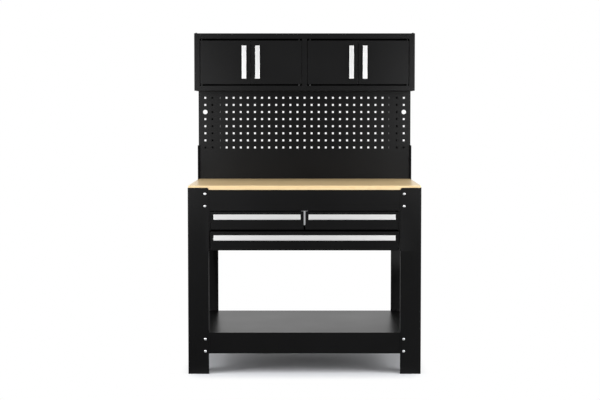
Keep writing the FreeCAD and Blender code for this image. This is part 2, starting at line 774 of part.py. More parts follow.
def make_cabinet_side(label, side):
    """A side panel with its front stile, the stile's return, the rear flange and a small top tab."""
    body = new_body(label)
    sheet = d.cabinet_sheet
    outer, inner = d.cabinet_half * side, (d.cabinet_half - sheet) * side
    stile = (d.cabinet_half - d.stile_wide) * side
    stile_back = stile + sheet * side
    flange = (d.cabinet_half - d.rear_flange) * side
    face, back = CABINET_FACE, CABINET_FACE + sheet
    ret = face + d.frame_return
    outline = [
        (outer, BOARD_FACE), (outer, face), (stile, face), (stile, ret), (stile_back, ret),
        (stile_back, back), (inner, back), (inner, BOARD_FACE - sheet),
        (flange, BOARD_FACE - sheet), (flange, BOARD_FACE),
    ]
    pad(body, "XY", d.cabinet_low, d.cabinet_high - d.cabinet_low, [outline])
    tab = rectangle(outer - d.tab_inset * side, face, outer - (d.tab_inset + d.tab_wide) * side, back)
    pad(body, "XY", d.cabinet_high, d.tab_tall, [tab])
    round_edges(body, "z", [{"x": outer, "y": face}], sheet)


def make_cabinet_level(label, top):
    """The cabinet's top or bottom: a panel, its front frame strip and the strip's return."""
    body = new_body(label)
    sheet = d.cabinet_sheet
    sign = -1 if top else 1
    outside = d.cabinet_high if top else d.cabinet_low
    inside = outside + sheet * sign
    strip = outside + (d.upper_frame if top else d.lower_frame) * sign
    strip_in = strip - sheet * sign
    face, back = CABINET_FACE, CABINET_FACE + sheet
    ret = face + (d.upper_return if top else d.frame_return)
    rear = [(BOARD_FACE, inside)]
    if top:
        rear.append((BOARD_FACE, outside))
    else:
        drop, drop_face = outside - d.bottom_drop, BOARD_FACE - sheet
        rear += [(BOARD_FACE, drop), (drop_face, drop), (drop_face, outside)]
    outline = rear + [
        (face, outside), (face, strip), (ret, strip), (ret, strip_in), (back, strip_in), (back, inside),
    ]
    half = d.cabinet_half - d.stile_wide
    pad(body, "YZ", -half, half * 2, [outline])
    wings = []
    for s in (LEFT, RIGHT):
        notch, side_panel = (half + sheet) * s, (d.cabinet_half - sheet) * s
        notch_end = face + d.frame_return
        rear = BOARD_FACE - sheet
        wings.append([
            (notch, back), (side_panel, back), (side_panel, rear), (half * s, rear), (half * s, notch_end),
            (notch, notch_end),
        ])
    pad(body, "XY", inside if top else outside, sheet, wings)
    round_edges(body, "x", [{"y": face, "z": outside}], sheet)


def make_cabinet():
    """The carcass of the wall cabinet."""
    sheet = d.cabinet_sheet
    for name, side in (("left", LEFT), ("right", RIGHT)):
        make_cabinet_side(f"cabinet_side_{name}", side)
    make_cabinet_level("cabinet_top", True)
    make_cabinet_level("cabinet_bottom", False)

    back = new_body("cabinet_back")
    half = d.cabinet_half - sheet
    low, high = d.cabinet_low + sheet, d.cabinet_high - sheet
    pad(back, "XZ", BOARD_FACE - sheet * 2, sheet, [rectangle(-half, low, half, high)])
    bolt_x = d.post_inner + d.cabinet_bolt_inset
    bolts = [(bolt_x * side, row) for side in (LEFT, RIGHT) for row in CABINET_ROWS]
    cut(back, "XZ", BOARD_FACE - sheet * 2, sheet, squares(bolts, d.bolt_hole))

    partition = new_body("cabinet_partition")
    stile, web = d.centre_stile / 2, sheet / 2
    face, ret = CABINET_FACE, CABINET_FACE + d.frame_return
    hat = [
        (-stile, face), (stile, face), (stile, ret), (stile - sheet, ret), (stile - sheet, face + sheet),
        (web, face + sheet), (web, ret), (-web, ret), (-web, face + sheet), (sheet - stile, face + sheet),
        (sheet - stile, ret), (-stile, ret),
    ]
    strip_low, strip_high = d.cabinet_low + d.lower_frame, d.cabinet_high - d.upper_frame
    pad(partition, "XY", strip_low, strip_high - strip_low, [hat])
    deep = CABINET_FACE + d.upper_return
    pad(partition, "XY", strip_low, strip_high - strip_low, [rectangle(-web, ret, web, deep)])
    pad(partition, "XY", low, high - low, [rectangle(-web, deep, web, BOARD_FACE - sheet * 2)])


def make_door(name, side, outer):
    """A folded door pan with a pin hole in its upper and lower edge, and its handle."""
    meeting = (d.door_outer_edge + d.door_inner_edge) / 2
    if outer:
        span = ((meeting + d.door_meeting_gap / 2) * side, d.door_outer_edge * side)
        pivot = d.outer_pivot * side
        handle_x = (meeting + d.handle_offset) * side
    else:
        span = (d.door_inner_edge * side, (meeting - d.door_meeting_gap / 2) * side)
        pivot = d.inner_pivot * side
        handle_x = (meeting - d.handle_offset) * side
    x0, x1 = sorted(span, key=lambda length: length.value)
    low, high, sheet = d.door_low, d.door_high, d.door_sheet
    door = new_body(f"door_{name}")
    pad(door, "XZ", DOOR_FACE, d.door_thick, [rectangle(x0, low, x1, high)])
    hollow = rectangle(x0 + sheet, low + sheet, x1 - sheet, high - sheet)
    cut(door, "XZ", DOOR_FACE + sheet, d.door_thick - sheet, [hollow])
    rim = [{"x": x, "y": DOOR_FACE} for x in (x0, x1)]
    round_edges(door, "z", rim, d.door_round, kind="Chamfer")
    pin = [(pivot, DOOR_FACE + d.pivot_depth)]
    cut(door, "XY", low, high - low, octagons(pin, d.pivot_size + d.pivot_slack))

    handle = new_body(f"door_handle_{name}")
    bar_x = handle_x - d.handle_wide / 2
    front = DOOR_FACE - d.handle_stand - d.handle_thick
    z0, z1 = d.handle_low, d.handle_low + d.handle_tall
    pad(handle, "XZ", front, d.handle_thick, [rectangle(bar_x, z0, bar_x + d.handle_wide, z1)])
    rim = [{"x": x, "y": front} for x in (bar_x, bar_x + d.handle_wide)]
    round_edges(handle, "z", rim, d.handle_round, kind="Chamfer")
    feet = [(handle_x, z0 + d.foot_inset), (handle_x, z1 - d.foot_inset)]
    pad(handle, "XZ", front + d.handle_thick, d.handle_stand, octagons(feet, d.foot_wide))


def make_doors():
    """Four doors, their welded pins and the magnetic catches behind their meeting edges."""
    make_door("outer_left", LEFT, True)
    make_door("inner_left", LEFT, False)
    make_door("inner_right", RIGHT, False)
    make_door("outer_right", RIGHT, True)

    pins = new_body("door_pivots", many=True)
    places = [(x, DOOR_FACE + d.pivot_depth) for x in PIVOT_PLACES]
    strip_low, strip_high = d.cabinet_low + d.lower_frame, d.cabinet_high - d.upper_frame
    upper, lower = d.door_high - d.pivot_reach, d.door_low + d.pivot_reach
    studs = octagons(places, d.pivot_size)
    pad(pins, "XY", upper, strip_high - upper, studs)
    pad(pins, "XY", strip_low, lower - strip_low, studs)
    collar_tall = d.door_low - strip_low - d.pivot_rest
    pad(pins, "XY", strip_low, collar_tall, octagons(places, d.pivot_collar))

    catches = new_body("door_catches", many=True)
    meeting = (d.door_outer_edge + d.door_inner_edge) / 2
    start = DOOR_FACE + d.door_thick + d.catch_gap
    half = d.catch_wide / 2
    blocks = []
    for side in (LEFT, RIGHT):
        centre = meeting * side
        blocks.append(rectangle(centre - half, strip_high - d.catch_tall, centre + half, strip_high))
    pad(catches, "XZ", start, d.catch_thick, blocks)


def upright_prism(name, sides, flat, length, start=0):
    """An upright prism around the Z axis with a flat towards X, given over its flats."""
    item = doc.addObject("Part::Prism", name)
    item.Polygon = sides
    item.Placement.Rotation = FreeCAD.Rotation(FreeCAD.Vector(0, 0, 1), 180 / sides)
    item.setExpression("Circumradius", f"{as_size(flat).text} / 2 / cos({180 / sides})")
    item.setExpression("Height", as_size(length).text)
    item.setExpression("Placement.Base.z", as_size(start).text)
    return item


def make_bolt(name, grip):
    """A bolt along +Z: its head lies below Z = 0 and its square neck fills the grip."""
    head = upright_prism(f"{name}_head", 8, d.head_wide, d.head_tall, -d.head_tall)
    neck = upright_prism(f"{name}_neck", 4, d.bolt_neck, grip)
    bolt = doc.addObject("Part::Fuse", name)
    bolt.Base, bolt.Tool = head, neck
    return bolt


DIRECTIONS = {
    "rearward": FreeCAD.Rotation(FreeCAD.Vector(1, 0, 0), -90),
    "forward": FreeCAD.Rotation(FreeCAD.Vector(1, 0, 0), 90),
    "rightward": FreeCAD.Rotation(FreeCAD.Vector(0, 1, 0), 90),
    "leftward": FreeCAD.Rotation(FreeCAD.Vector(0, 1, 0), -90),
    "upward": FreeCAD.Rotation(),
}
STEP = {
    "rearward": (0, 1, 0),
    "forward": (0, -1, 0),
    "rightward": (1, 0, 0),
    "leftward": (-1, 0, 0),
    "upward": (0, 0, 1),
}


def place_copy(name, original, place, direction, along):
    """A linked copy of a fastener, moved along its own axis from the place."""
    copy = doc.addObject("App::Link", name)
    copy.LinkedObject = original
    copy.Placement = FreeCAD.Placement(FreeCAD.Vector(), DIRECTIONS[direction])
    along = as_size(along)
    for axis, start, step in zip("xyz", place, STEP[direction]):
        at = as_size(start) + along * step
        copy.setExpression(f"Placement.Base.{axis}", at.text)
    return copy


def make_group(label, *rows):
    """A node of equal fasteners. Each row has places, and originals with how far along they sit."""
    group = doc.addObject("Part::Compound", label)
    group.Label = label
    copies = []
    for places, parts in rows:
        for place, direction in places:
            for original, along in parts:
                copies.append(place_copy(f"{label}_item", original, place, direction, along))
    group.Links = copies
    doc.recompute()
    sub_parts.append(group)


def make_fasteners():
    """Frame bolts with nuts, screws for the top and the case, and the cabinet's bolts."""
    grip = d.leg_sheet + d.rail_sheet
    wall_grip = d.leg_sheet + d.board_sheet
    bolt, wall_bolt = make_bolt("frame_bolt", grip), make_bolt("wall_bolt", wall_grip)
    nut = upright_prism("nut", 6, d.nut_flat, d.nut_tall)
    front, rear, side, wall = [], [], [], []
    for sign, direction in ((LEFT, "rightward"), (RIGHT, "leftward")):
        x = BOLT_X * sign
        front += [((x, FRONT, row), "rearward") for row in BOLT_ROWS]
        rear += [((x, REAR, row), "forward") for row in BOLT_ROWS + POST_ROWS]
        for y in (FRONT_BOLT_Y, REAR_BOLT_Y):
            side += [((HALF * sign, y, row), direction) for row in BOLT_ROWS]
        wall += [((HALF * sign, WALL_BOLT_Y, row), direction) for row in WALL_ROWS]
    frame_set = ((bolt, 0), (nut, grip))
    wall_set = ((wall_bolt, 0), (nut, wall_grip))
    make_group("front_bolts", (front, frame_set))
    make_group("rear_bolts", (rear, frame_set))
    make_group("side_bolts", (side, frame_set), (wall, wall_set))

    screw = doc.addObject("Part::Fuse", "panel_screw")
    screw.Base = upright_prism("screw_head", 8, d.screw_head, d.screw_head_tall, -d.screw_head_tall)
    screw.Tool = upright_prism("screw_shank", 8, d.screw_size, d.screw_long)
    seats = (("worktop_screws", TOP_UNDER - d.rail_sheet), ("case_screws", TOP_RAIL_LOW - d.case_sheet))
    for label, under in seats:
        screws = [((x, y, under), "upward") for x, y in SCREW_PLACES]
        make_group(label, (screws, ((screw, 0),)))

    gap = d.cabinet_sheet + d.board_sheet
    cabinet_grip = d.cabinet_sheet + gap + d.post_sheet
    cabinet_bolt = make_bolt("cabinet_bolt", cabinet_grip)
    spacer = doc.addObject("Part::Cut", "spacer")
    spacer.Base = upright_prism("spacer_disc", 8, d.spacer_wide, gap)
    spacer.Tool = upright_prism("spacer_bore", 4, d.bolt_hole, gap)
    start = BOARD_FACE - d.cabinet_sheet * 2
    bolt_x = d.post_inner + d.cabinet_bolt_inset
    places = [((bolt_x * s, start, row), "rearward") for s in (LEFT, RIGHT) for row in CABINET_ROWS]
    cabinet_set = ((cabinet_bolt, 0), (spacer, d.cabinet_sheet), (nut, cabinet_grip))
    make_group("cabinet_bolts", (places, cabinet_set))


def check_document():
    """Stop if any object failed or any sub-part has no sound shape."""
    for item in doc.Objects:
        if "Invalid" in item.State or "Error" in item.State:
            raise RuntimeError(f"{item.Label} failed: {item.State}")
    for part in sub_parts:
        if part.Shape.isNull() or not part.Shape.isValid():
            raise RuntimeError(f"{part.Label} has no sound shape")


make_frame()
make_case()
make_drawers()
make_pegboard()
make_post("wall_post_left", LEFT)
make_post("wall_post_right", RIGHT)
make_cabinet()
make_doors()
make_fasteners()

doc.recompute()
check_document()
os.makedirs("parts", exist_ok=True)
for part in sub_parts:
    part.Shape.exportStep(f"parts/{part.Label}.step")
print(len(sub_parts), "parts written")
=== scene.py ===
import json
import math

import bmesh
import bpy
from bpy.props import FloatProperty, FloatVectorProperty, IntProperty, PointerProperty
from mathutils import Matrix, Vector


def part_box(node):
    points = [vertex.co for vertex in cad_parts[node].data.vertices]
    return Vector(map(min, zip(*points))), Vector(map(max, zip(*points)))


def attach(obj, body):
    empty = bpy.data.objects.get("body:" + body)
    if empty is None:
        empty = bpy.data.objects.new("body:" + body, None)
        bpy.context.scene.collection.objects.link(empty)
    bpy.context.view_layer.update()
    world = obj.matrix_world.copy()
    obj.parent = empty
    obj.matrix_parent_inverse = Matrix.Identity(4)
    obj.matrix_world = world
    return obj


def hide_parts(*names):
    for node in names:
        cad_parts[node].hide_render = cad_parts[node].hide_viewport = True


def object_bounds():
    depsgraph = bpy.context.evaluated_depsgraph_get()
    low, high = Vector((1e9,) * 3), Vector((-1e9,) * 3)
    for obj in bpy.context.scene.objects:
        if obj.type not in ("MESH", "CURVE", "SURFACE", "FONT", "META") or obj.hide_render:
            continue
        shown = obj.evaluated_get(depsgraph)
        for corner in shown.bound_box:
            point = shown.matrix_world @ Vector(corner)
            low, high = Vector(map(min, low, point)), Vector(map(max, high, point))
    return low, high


bl_info = {
    "name": "Workbench with wall cabinets",
    "version": (1, 0, 0),
    "blender": (4, 5, 0),
    "location": "View3D > Sidebar > Workbench",
    "description": "Finishes a steel workbench: paint, top, perforated board, bolts, handles and slides",
    "category": "Object",
}

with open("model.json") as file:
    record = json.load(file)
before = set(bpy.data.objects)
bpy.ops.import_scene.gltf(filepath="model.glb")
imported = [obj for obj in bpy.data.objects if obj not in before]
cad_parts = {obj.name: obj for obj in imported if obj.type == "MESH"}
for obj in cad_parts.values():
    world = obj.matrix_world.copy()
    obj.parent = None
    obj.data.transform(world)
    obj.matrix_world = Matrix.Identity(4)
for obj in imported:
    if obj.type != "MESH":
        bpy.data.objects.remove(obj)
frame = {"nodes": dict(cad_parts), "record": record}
CAD_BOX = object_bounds()
NODES = frame["nodes"]
BEHAVIOUR = frame["record"]["behaviour"]
BODY_OF = {node: body for body, nodes in BEHAVIOUR["bodies"].items() for node in nodes}
SLOT_OF = {row["node"]: row["material_slot"] for row in frame["record"]["subparts"]}
BENCH = BODY_OF["worktop"]

FINISHES = {
    "black_paint": "Black powder coat",
    "aluminium": "Satin aluminium",
    "zinc": "Bright zinc",
    "wood": "Lacquered wood",
    "catch_plastic": "Catch plastic",
}

WELD = 1e-5                      # corners nearer than this are one
FLAT = math.radians(0.5)         # faces that turn less than this are one face
CREASE = math.radians(28)        # edges sharper than this are softened
RIM = 0.25                       # straight rim of a bolt's head, of its height
EQUATOR = 0.01                   # a ball's corners below this height shift with the head's rim
NECK_LONG = 0.75                 # a bolt's square neck, of its side
HEXAGON = 0.55                   # six-sided part of a nut, of its height
CAP = 0.46                       # radius of a nut's cap, of its width over the flats
CROSS_LONG = 0.55                # a screw's cross, of its head's width
CROSS_WIDE = 0.12                # its slots, of the head's width
CROSS_DEEP = 1.2                 # of the head's height, half of it in the head
CAGE_WIDE = 1.3                  # a row's cage, of a ball
CAGE_THICK = 0.15                # its thickness, of a ball
FLARE = 1.04                     # foot of a handle's post, of its width
FLARE_LOW = 0.0015               # the flare begins this far before the door, in metres
FLARE_HIGH = 0.0008              # and is full this far before it
PIN_RIM = 0.2                    # rounded ends of a pin, of its radius
COLLAR_SIDE = 1.5                # a collar's corners stand further out than this, of the pin's radius
SPACER_RIM = 1 / 8               # rounded ends of a spacer, of its length
HEAD_MATCH = 1 / 10              # a solid this near to a head's width, as a share of it, is a fastener
HEAD_SIDE = 0.45                 # a head's corners stand further out than this, of its width
BOARD_FOLD = 0.9                 # radius of the board's folds, of its sheet
FLOOR_HALF = 30.0                # half of the floor's side
FLOOR_INSET = 0.08               # the floor's shadow begins to fade this far inside the bench's sides
FLOOR_FADE = 0.13                # and is gone after this
AHEAD_BAND = (0.1, 0.4)          # heights of a direction between which the room before the bench dims
AHEAD_HIGH = 0.4                 # to this share
BEHIND_BAND = (-0.9, -0.6)       # depths of a direction between which the room before turns to that behind
PICTURE = (600.0, 400.0)         # width and height of the photograph's frame
SENSOR = 36.0                    # width in mm


def metres(name, description, default):
    """A length setting, in metres."""
    return FloatProperty(name=name, description=description, default=default, unit="LENGTH")


def amount(name, description, default):
    """A plain setting."""
    return FloatProperty(name=name, description=description, default=default)


def shade(name, description, default):
    """A colour setting."""
    return FloatVectorProperty(name=name, description=description, default=default, subtype="COLOR")


class WorkbenchSizes(bpy.types.PropertyGroup):
    """Sizes of the fine shapes, in metres."""

    sheet_edge: metres("Sheet edge", "Softening of the folded sheets' edges", 0.0003)
    panel_edge: metres("Panel edge", "Softening of the doors' and drawer fronts' edges", 0.0005)
    wood_edge: metres("Wood edge", "Rounding of the wooden top's edges", 0.0012)
    lip_fold: metres("Lip fold", "Outer radius of the fold along the legs' inner lips", 0.003)
    lip_low: metres("Lip's foot", "Height where the legs' inner lips begin", 0.212)
    lip_high: metres("Lip's head", "Height where the legs' inner lips end", 0.604)
    hole: metres("Peg hole", "Side of a square hole", 0.010)
    hole_corner: metres("Hole corner", "Radius in a square hole's corners", 0.0012)
    pitch: metres("Pitch", "Between two holes, both ways", 0.038)
    columns: IntProperty(name="Columns", description="Holes along the board", default=29)
    rows: IntProperty(name="Rows", description="Holes up the board", default=9)
    lowest_row: metres("Lowest row", "Height of the lowest holes", 1.093)
    cable_hole: metres("Cable hole", "Diameter of the two round holes", 0.024)
    cable_row: IntProperty(
        name="Cable row", description="Rows from the lowest to the round holes", default=5)
    board_sheet: metres("Board sheet", "Thickness of the board's sheet", 0.001)
    board_foot: metres("Board foot", "Depth of the board's foot", 0.015)
    head_width: metres("Bolt head", "Diameter of the bolts' round heads", 0.013)
    head_height: metres("Head height", "Height of the bolts' round heads", 0.004)
    neck: metres("Neck", "Side of the bolts' square necks", 0.006)
    nut_flats: metres("Nut", "Width of the nuts over their flats", 0.010)
    nut_height: metres("Nut height", "Height of the closed nuts", 0.008)
    bar_thickness: metres("Handle bar", "Thickness of the door handles' bars", 0.006)
    bar_edge: metres("Handle edge", "Rounding of the door handles' bars", 0.0016)
    post_width: metres("Handle post", "Diameter of the door handles' posts", 0.012)
    post_inset: metres("Post inset", "From the bar's end to its post", 0.016)
    pin: metres("Pin", "Diameter of the doors' pins", 0.0046)
    collar: metres("Collar", "Diameter of the collars under the doors", 0.009)
    screw_head: metres("Screw head", "Diameter of the screws' heads", 0.009)
    screw_head_height: metres("Screw head height", "Height of the screws' heads", 0.003)
    screw: metres("Screw", "Diameter of the screws' shanks", 0.005)
    spacer: metres("Spacer", "Diameter of the spacers behind the cabinet", 0.016)
    catch_edge: metres("Catch edge", "Rounding of the magnetic catches", 0.0015)
    ball: metres("Ball", "Diameter of the slides' balls", 0.0032)
    ball_step: metres("Ball step", "Between the slides' balls", 0.008)
    balls: IntProperty(name="Balls", description="Balls in one row", default=30)
    slide_sheet: metres("Slide sheet", "Thickness of the slides' sheet", 0.0012)


class WorkbenchColours(bpy.types.PropertyGroup):
    """Colours of the finishes, linear."""

    paint: shade("Paint", "Black powder coat", (0.0028, 0.0028, 0.0030))
    aluminium: shade("Aluminium", "Handles and pulls", (0.83, 0.83, 0.83))
    zinc: shade("Zinc", "Bolts, slides and hanger", (0.68, 0.69, 0.70))
    wood_light: shade("Light wood", "Early wood of the top", (0.82, 0.62, 0.335))
    wood_dark: shade("Dark wood", "Late wood of the top", (0.68, 0.48, 0.24))
    # The catches' colour is near black, darker than their plastic, as painted shade for the deep gap between
    # the doors where they sit.
    plastic: shade("Plastic", "Magnetic catches", (0.0012, 0.0012, 0.0012))
    floor: shade("Floor", "Plain pale floor", (0.80, 0.81, 0.84))


class WorkbenchView(bpy.types.PropertyGroup):
    """The camera's place and the light."""

    distance: metres("Distance", "From the legs' front to the camera", 5.328)
    height: metres("Height", "Of the camera", 1.2922)
    tilt: FloatProperty(
        name="Tilt", description="Of the camera, downwards", default=math.radians(2.45), subtype="ANGLE")
    focal: amount("Focal length", "In widths of the picture", 1096.2 / PICTURE[0])
    middle: FloatVectorProperty(
        name="Middle", description="Where the lens points in a picture of 600 by 400",
        size=2, default=(304.55, 157.2))
    above: amount("Above", "Power of the lamp above, in watts", 30.0)
    side: amount("Side", "Power of each side lamp, in watts", 58.0)
    sheen: amount("Sheen", "Power of each lamp that only shows in reflections, in watts", 20.0)
    ambient: amount("Ambient", "Strength of the room's soft light", 0.8)
    behind: amount("Behind", "Strength of the room behind the bench, in reflections", 0.88)
    ahead: amount("Ahead", "Strength of the room before the bench, in reflections", 0.68)
    mirrored_floor: amount("Mirrored floor", "Brightness of the floor in reflections", 0.3)


def node(tree, kind, values=None, **settings):
    """Add a node. Values are sockets by name or number, each given a value or an output to link."""
    made = tree.nodes.new(kind)
    for name, value in settings.items():
        setattr(made, name, value)
    for socket, value in (values or {}).items():
        if isinstance(value, bpy.types.NodeSocket):
            tree.links.new(value, made.inputs[socket])
        else:
            made.inputs[socket].default_value = value
    return made


def new_material(name):
    """A material's tree, its shader and the piece's own coordinates."""
    material = bpy.data.materials.new(name)
    material.use_nodes = True
    tree = material.node_tree
    place = node(tree, "ShaderNodeTexCoord").outputs["Object"]
    return tree, tree.nodes["Principled BSDF"], place


def noise(tree, place, scale, detail=2.0, roughness=0.5):
    """Noise at a number of features in a metre."""
    values = {"Vector": place, "Scale": scale, "Detail": detail, "Roughness": roughness}
    return node(tree, "ShaderNodeTexNoise", values).outputs["Fac"]


def stretched(tree, place, scale):
    """The coordinates with a scale along each axis, for streaks and grain."""
    return node(tree, "ShaderNodeMapping", {"Vector": place, "Scale": scale}).outputs["Vector"]


def between(tree, value, low, high, start=0.3, end=0.7):
    """The value mapped from a part of its range. Low and high are numbers or outputs."""
    values = {"Value": value, "From Min": start, "From Max": end, "To Min": low, "To Max": high}
    return node(tree, "ShaderNodeMapRange", values).outputs["Result"]


def vectors(tree, operation, first, second=(0, 0, 0)):
    """The outputs of a sum of two vectors."""
    return node(tree, "ShaderNodeVectorMath", {0: first, 1: second}, operation=operation).outputs


def blend_colours(tree, factor, first, second):
    """A colour between two, each a colour or an output."""
    mix = node(tree, "ShaderNodeMix", data_type="RGBA")
    tree.links.new(factor, mix.inputs[0])
    for socket, colour in ((6, first), (7, second)):
        if isinstance(colour, bpy.types.NodeSocket):
            tree.links.new(colour, mix.inputs[socket])
        else:
            mix.inputs[socket].default_value = (*colour, 1.0)
    return mix.outputs[2]


def bump(tree, shader, height, distance, strength=1.0, under=None):
    """Raise the surface by a height in metres."""
    values = {"Height": height, "Distance": distance, "Strength": strength}
    made = node(tree, "ShaderNodeBump", values)
    if under:
        tree.links.new(under, made.inputs["Normal"])
    tree.links.new(made.outputs["Normal"], shader.inputs["Normal"])
    return made.outputs["Normal"]


def make_paint(colours):
    """Powder coat: a fine orange peel, and a gloss that drifts a little over a panel."""
    tree, shader, place = new_material(FINISHES["black_paint"])
    drift = noise(tree, place, 2.3, 3.0)
    grain = noise(tree, place, 650.0, 2.0)
    dark = Vector(colours.paint)
    colour = blend_colours(tree, between(tree, drift, 0.0, 1.0), dark * 0.85, dark * 1.2)
    tree.links.new(colour, shader.inputs["Base Color"])
    gloss = between(tree, drift, 0.30, 0.35)
    tree.links.new(gloss, shader.inputs["Roughness"])
    shader.inputs["Specular Tint"].default_value = (0.28, 0.28, 0.28, 1.0)
    peel = bump(tree, shader, noise(tree, place, 160.0, 1.0), 0.0001, 0.25)
    bump(tree, shader, grain, 0.00004, 0.35, under=peel)


def make_metal(slot, colour, grain, roughness, unevenness):
    """Bare metal with a fine grain, and a gloss that drifts by the unevenness."""
    tree, shader, place = new_material(FINISHES[slot])
    fine = noise(tree, place, grain, 3.0)
    cloud = noise(tree, place, 25.0, 2.0)
    bright = Vector(colour)
    tint = blend_colours(tree, between(tree, fine, 0.0, 1.0), bright * (1.0 - unevenness), bright)
    tree.links.new(tint, shader.inputs["Base Color"])
    shader.inputs["Metallic"].default_value = 1.0
    gloss = between(tree, cloud, roughness - unevenness / 2, roughness + unevenness / 2)
    tree.links.new(gloss, shader.inputs["Roughness"])
    bump(tree, shader, fine, 0.00002, 0.3)


def make_wood(colours):
    """Lacquered wood, its grain along the bench."""
    tree, shader, place = new_material(FINISHES["wood"])
    wander = noise(tree, stretched(tree, place, (0.8, 6.0, 6.0)), 1.0, 2.0)
    bend = vectors(tree, "ADD", place, wander)[0]
    rings = noise(tree, stretched(tree, bend, (1.6, 60.0, 60.0)), 1.0, 4.0, 0.6)
    fibres = noise(tree, stretched(tree, place, (14.0, 900.0, 900.0)), 1.0, 3.0)
    broad = noise(tree, stretched(tree, place, (0.7, 9.0, 9.0)), 1.0, 2.0)
    light, dark = Vector(colours.wood_light), Vector(colours.wood_dark)
    grain = blend_colours(tree, between(tree, rings, 0.0, 1.0), light, dark)
    tone = blend_colours(tree, between(tree, broad, 0.0, 0.5), grain, light)
    pores = blend_colours(tree, between(tree, fibres, 0.0, 0.22, 0.55, 0.8), tone, dark * 0.7)
    tree.links.new(pores, shader.inputs["Base Color"])
    tree.links.new(between(tree, fibres, 0.30, 0.38), shader.inputs["Roughness"])
    shader.inputs["Coat Weight"].default_value = 0.25
    shader.inputs["Coat Roughness"].default_value = 0.22
    bump(tree, shader, fibres, 0.00004, 0.4)


def make_plastic(colours):
    """Moulded plastic with a fine matt grain, its colour near black, darker than the plastic is, as painted
    shade in the gap between the doors where the catches sit.
    """
    tree, shader, place = new_material(FINISHES["catch_plastic"])
    grain = noise(tree, place, 900.0, 2.0)
    dark = Vector(colours.plastic)
    tree.links.new(blend_colours(tree, grain, dark * 0.8, dark * 1.2), shader.inputs["Base Color"])
    tree.links.new(between(tree, grain, 0.45, 0.6), shader.inputs["Roughness"])
    shader.inputs["Specular IOR Level"].default_value = 0.03
    bump(tree, shader, grain, 0.00005, 0.5)


def show(item):
    """Put an object into the scene."""
    bpy.context.scene.collection.objects.link(item)


def finish(slot):
    """The material of a slot."""
    return bpy.data.materials[FINISHES[slot]]


def new_mesh(name, shape):
    """Turn a bmesh into a mesh, smooth across its gentle edges only."""
    mesh = bpy.data.meshes.new(name)
    shape.to_mesh(mesh)
    shape.free()
    mesh.shade_smooth()
    mesh.set_sharp_from_angle(angle=CREASE)
    return mesh


def welded(name):
    """A copy of a node's mesh with its corners merged and its flat faces whole."""
    shape = bmesh.new()
    shape.from_mesh(NODES[name].data)
    bmesh.ops.remove_doubles(shape, verts=shape.verts, dist=WELD)
    bmesh.ops.dissolve_limit(shape, angle_limit=FLAT, verts=shape.verts, edges=shape.edges)
    return shape


def add_box(shape, low, high):
    """Add a box between two corners."""
    made = bmesh.ops.create_cube(shape, size=1.0)
    middle, size = (low + high) / 2, high - low
    for corner in made["verts"]:
        corner.co = middle + Vector(a * b for a, b in zip(corner.co, size))
    return made["verts"]


def add_round(shape, profile, middle, axis, segments=32):
    """Add a turned solid: the profile is distances along the axis and radii, from end to end."""
    turn = Vector((0, 0, 1)).rotation_difference(axis)
    rings = []
    for along, radius in profile:
        ring = []
        for step in range(segments):
            angle = math.tau * step / segments
            point = Vector((math.cos(angle) * radius, math.sin(angle) * radius, along))
            ring.append(shape.verts.new(middle + turn @ point))
        rings.append(ring)
    for lower, upper in zip(rings, rings[1:]):
        for step in range(segments):
            after = (step + 1) % segments
            shape.faces.new((lower[step], lower[after], upper[after], upper[step]))
    shape.faces.new(reversed(rings[0]))
    shape.faces.new(rings[-1])


def soften(piece, width, segments=2):
    """Round the sharp edges of a piece a little and keep its flat faces flat."""
    bevel = piece.modifiers.new("Softened edges", "BEVEL")
    bevel.width = width
    bevel.segments = segments
    bevel.limit_method = "ANGLE"
    bevel.angle_limit = CREASE
    piece.modifiers.new("Triangles", "TRIANGULATE")
    even = piece.modifiers.new("Even shading", "WEIGHTED_NORMAL")
    even.keep_sharp = True


def add_piece(name, mesh, source, edge=0.0, segments=2, replaces=True):
    """Put a finished piece into the scene, with the slot and the body of its node, and in its place."""
    piece = bpy.data.objects.new(name, mesh)
    show(piece)
    slot, body = SLOT_OF[source], BODY_OF[source]
    mesh.materials.clear()
    mesh.materials.append(finish(slot))
    if edge:
        soften(piece, edge, segments)
    if replaces:
        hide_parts(source)
    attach(piece, body)


def form(name, edge, segments=2):
    """Replace a node with its own shape, its edges softened."""
    add_piece(f"formed_{name}", new_mesh(f"formed_{name}", welded(name)), name, edge, segments)


def new_tree(name, floats, counts=()):
    """A geometry tree with named inputs and a material. Return it with its inputs' outputs."""
    tree = bpy.data.node_groups.new(name, "GeometryNodeTree")
    groups = {"Geometry": ["Geometry"], "Float": floats, "Int": counts, "Material": ["Material"]}
    for kind, labels in groups.items():
        for label in labels:
            tree.interface.new_socket(label, in_out="INPUT", socket_type=f"NodeSocket{kind}")
    tree.interface.new_socket("Geometry", in_out="OUTPUT", socket_type="NodeSocketGeometry")
    return tree, tree.nodes.new("NodeGroupInput").outputs


def end_tree(tree, geometry, material):
    """Make the copies real, give them their material and hand the result out."""
    real = node(tree, "GeometryNodeRealizeInstances", {"Geometry": geometry})
    dressed = node(tree, "GeometryNodeSetMaterial", {"Geometry": real.outputs[0], "Material": material})
    end = tree.nodes.new("NodeGroupOutput")
    tree.links.new(dressed.outputs[0], end.inputs[0])


def grow(tree, mesh, source, values):
    """Run a tree on a mesh with a node's finish and return the result as a plain mesh."""
    values = {**values, "Material": finish(SLOT_OF[source])}
    carrier = bpy.data.objects.new(tree.name, mesh)
    show(carrier)
    modifier = carrier.modifiers.new(tree.name, "NODES")
    modifier.node_group = tree
    for item in tree.interface.items_tree:
        if item.in_out == "INPUT" and item.name in values:
            modifier[item.identifier] = values[item.name]
    graph = bpy.context.evaluated_depsgraph_get()
    result = bpy.data.meshes.new_from_object(carrier.evaluated_get(graph), depsgraph=graph)
    carrier.modifiers.remove(modifier)
    bpy.data.objects.remove(carrier)
    return result


def calculate(tree, operation, first, second=0.0):
    """The result of a sum of two values."""
    return node(tree, "ShaderNodeMath", {0: first, 1: second}, operation=operation).outputs[0]


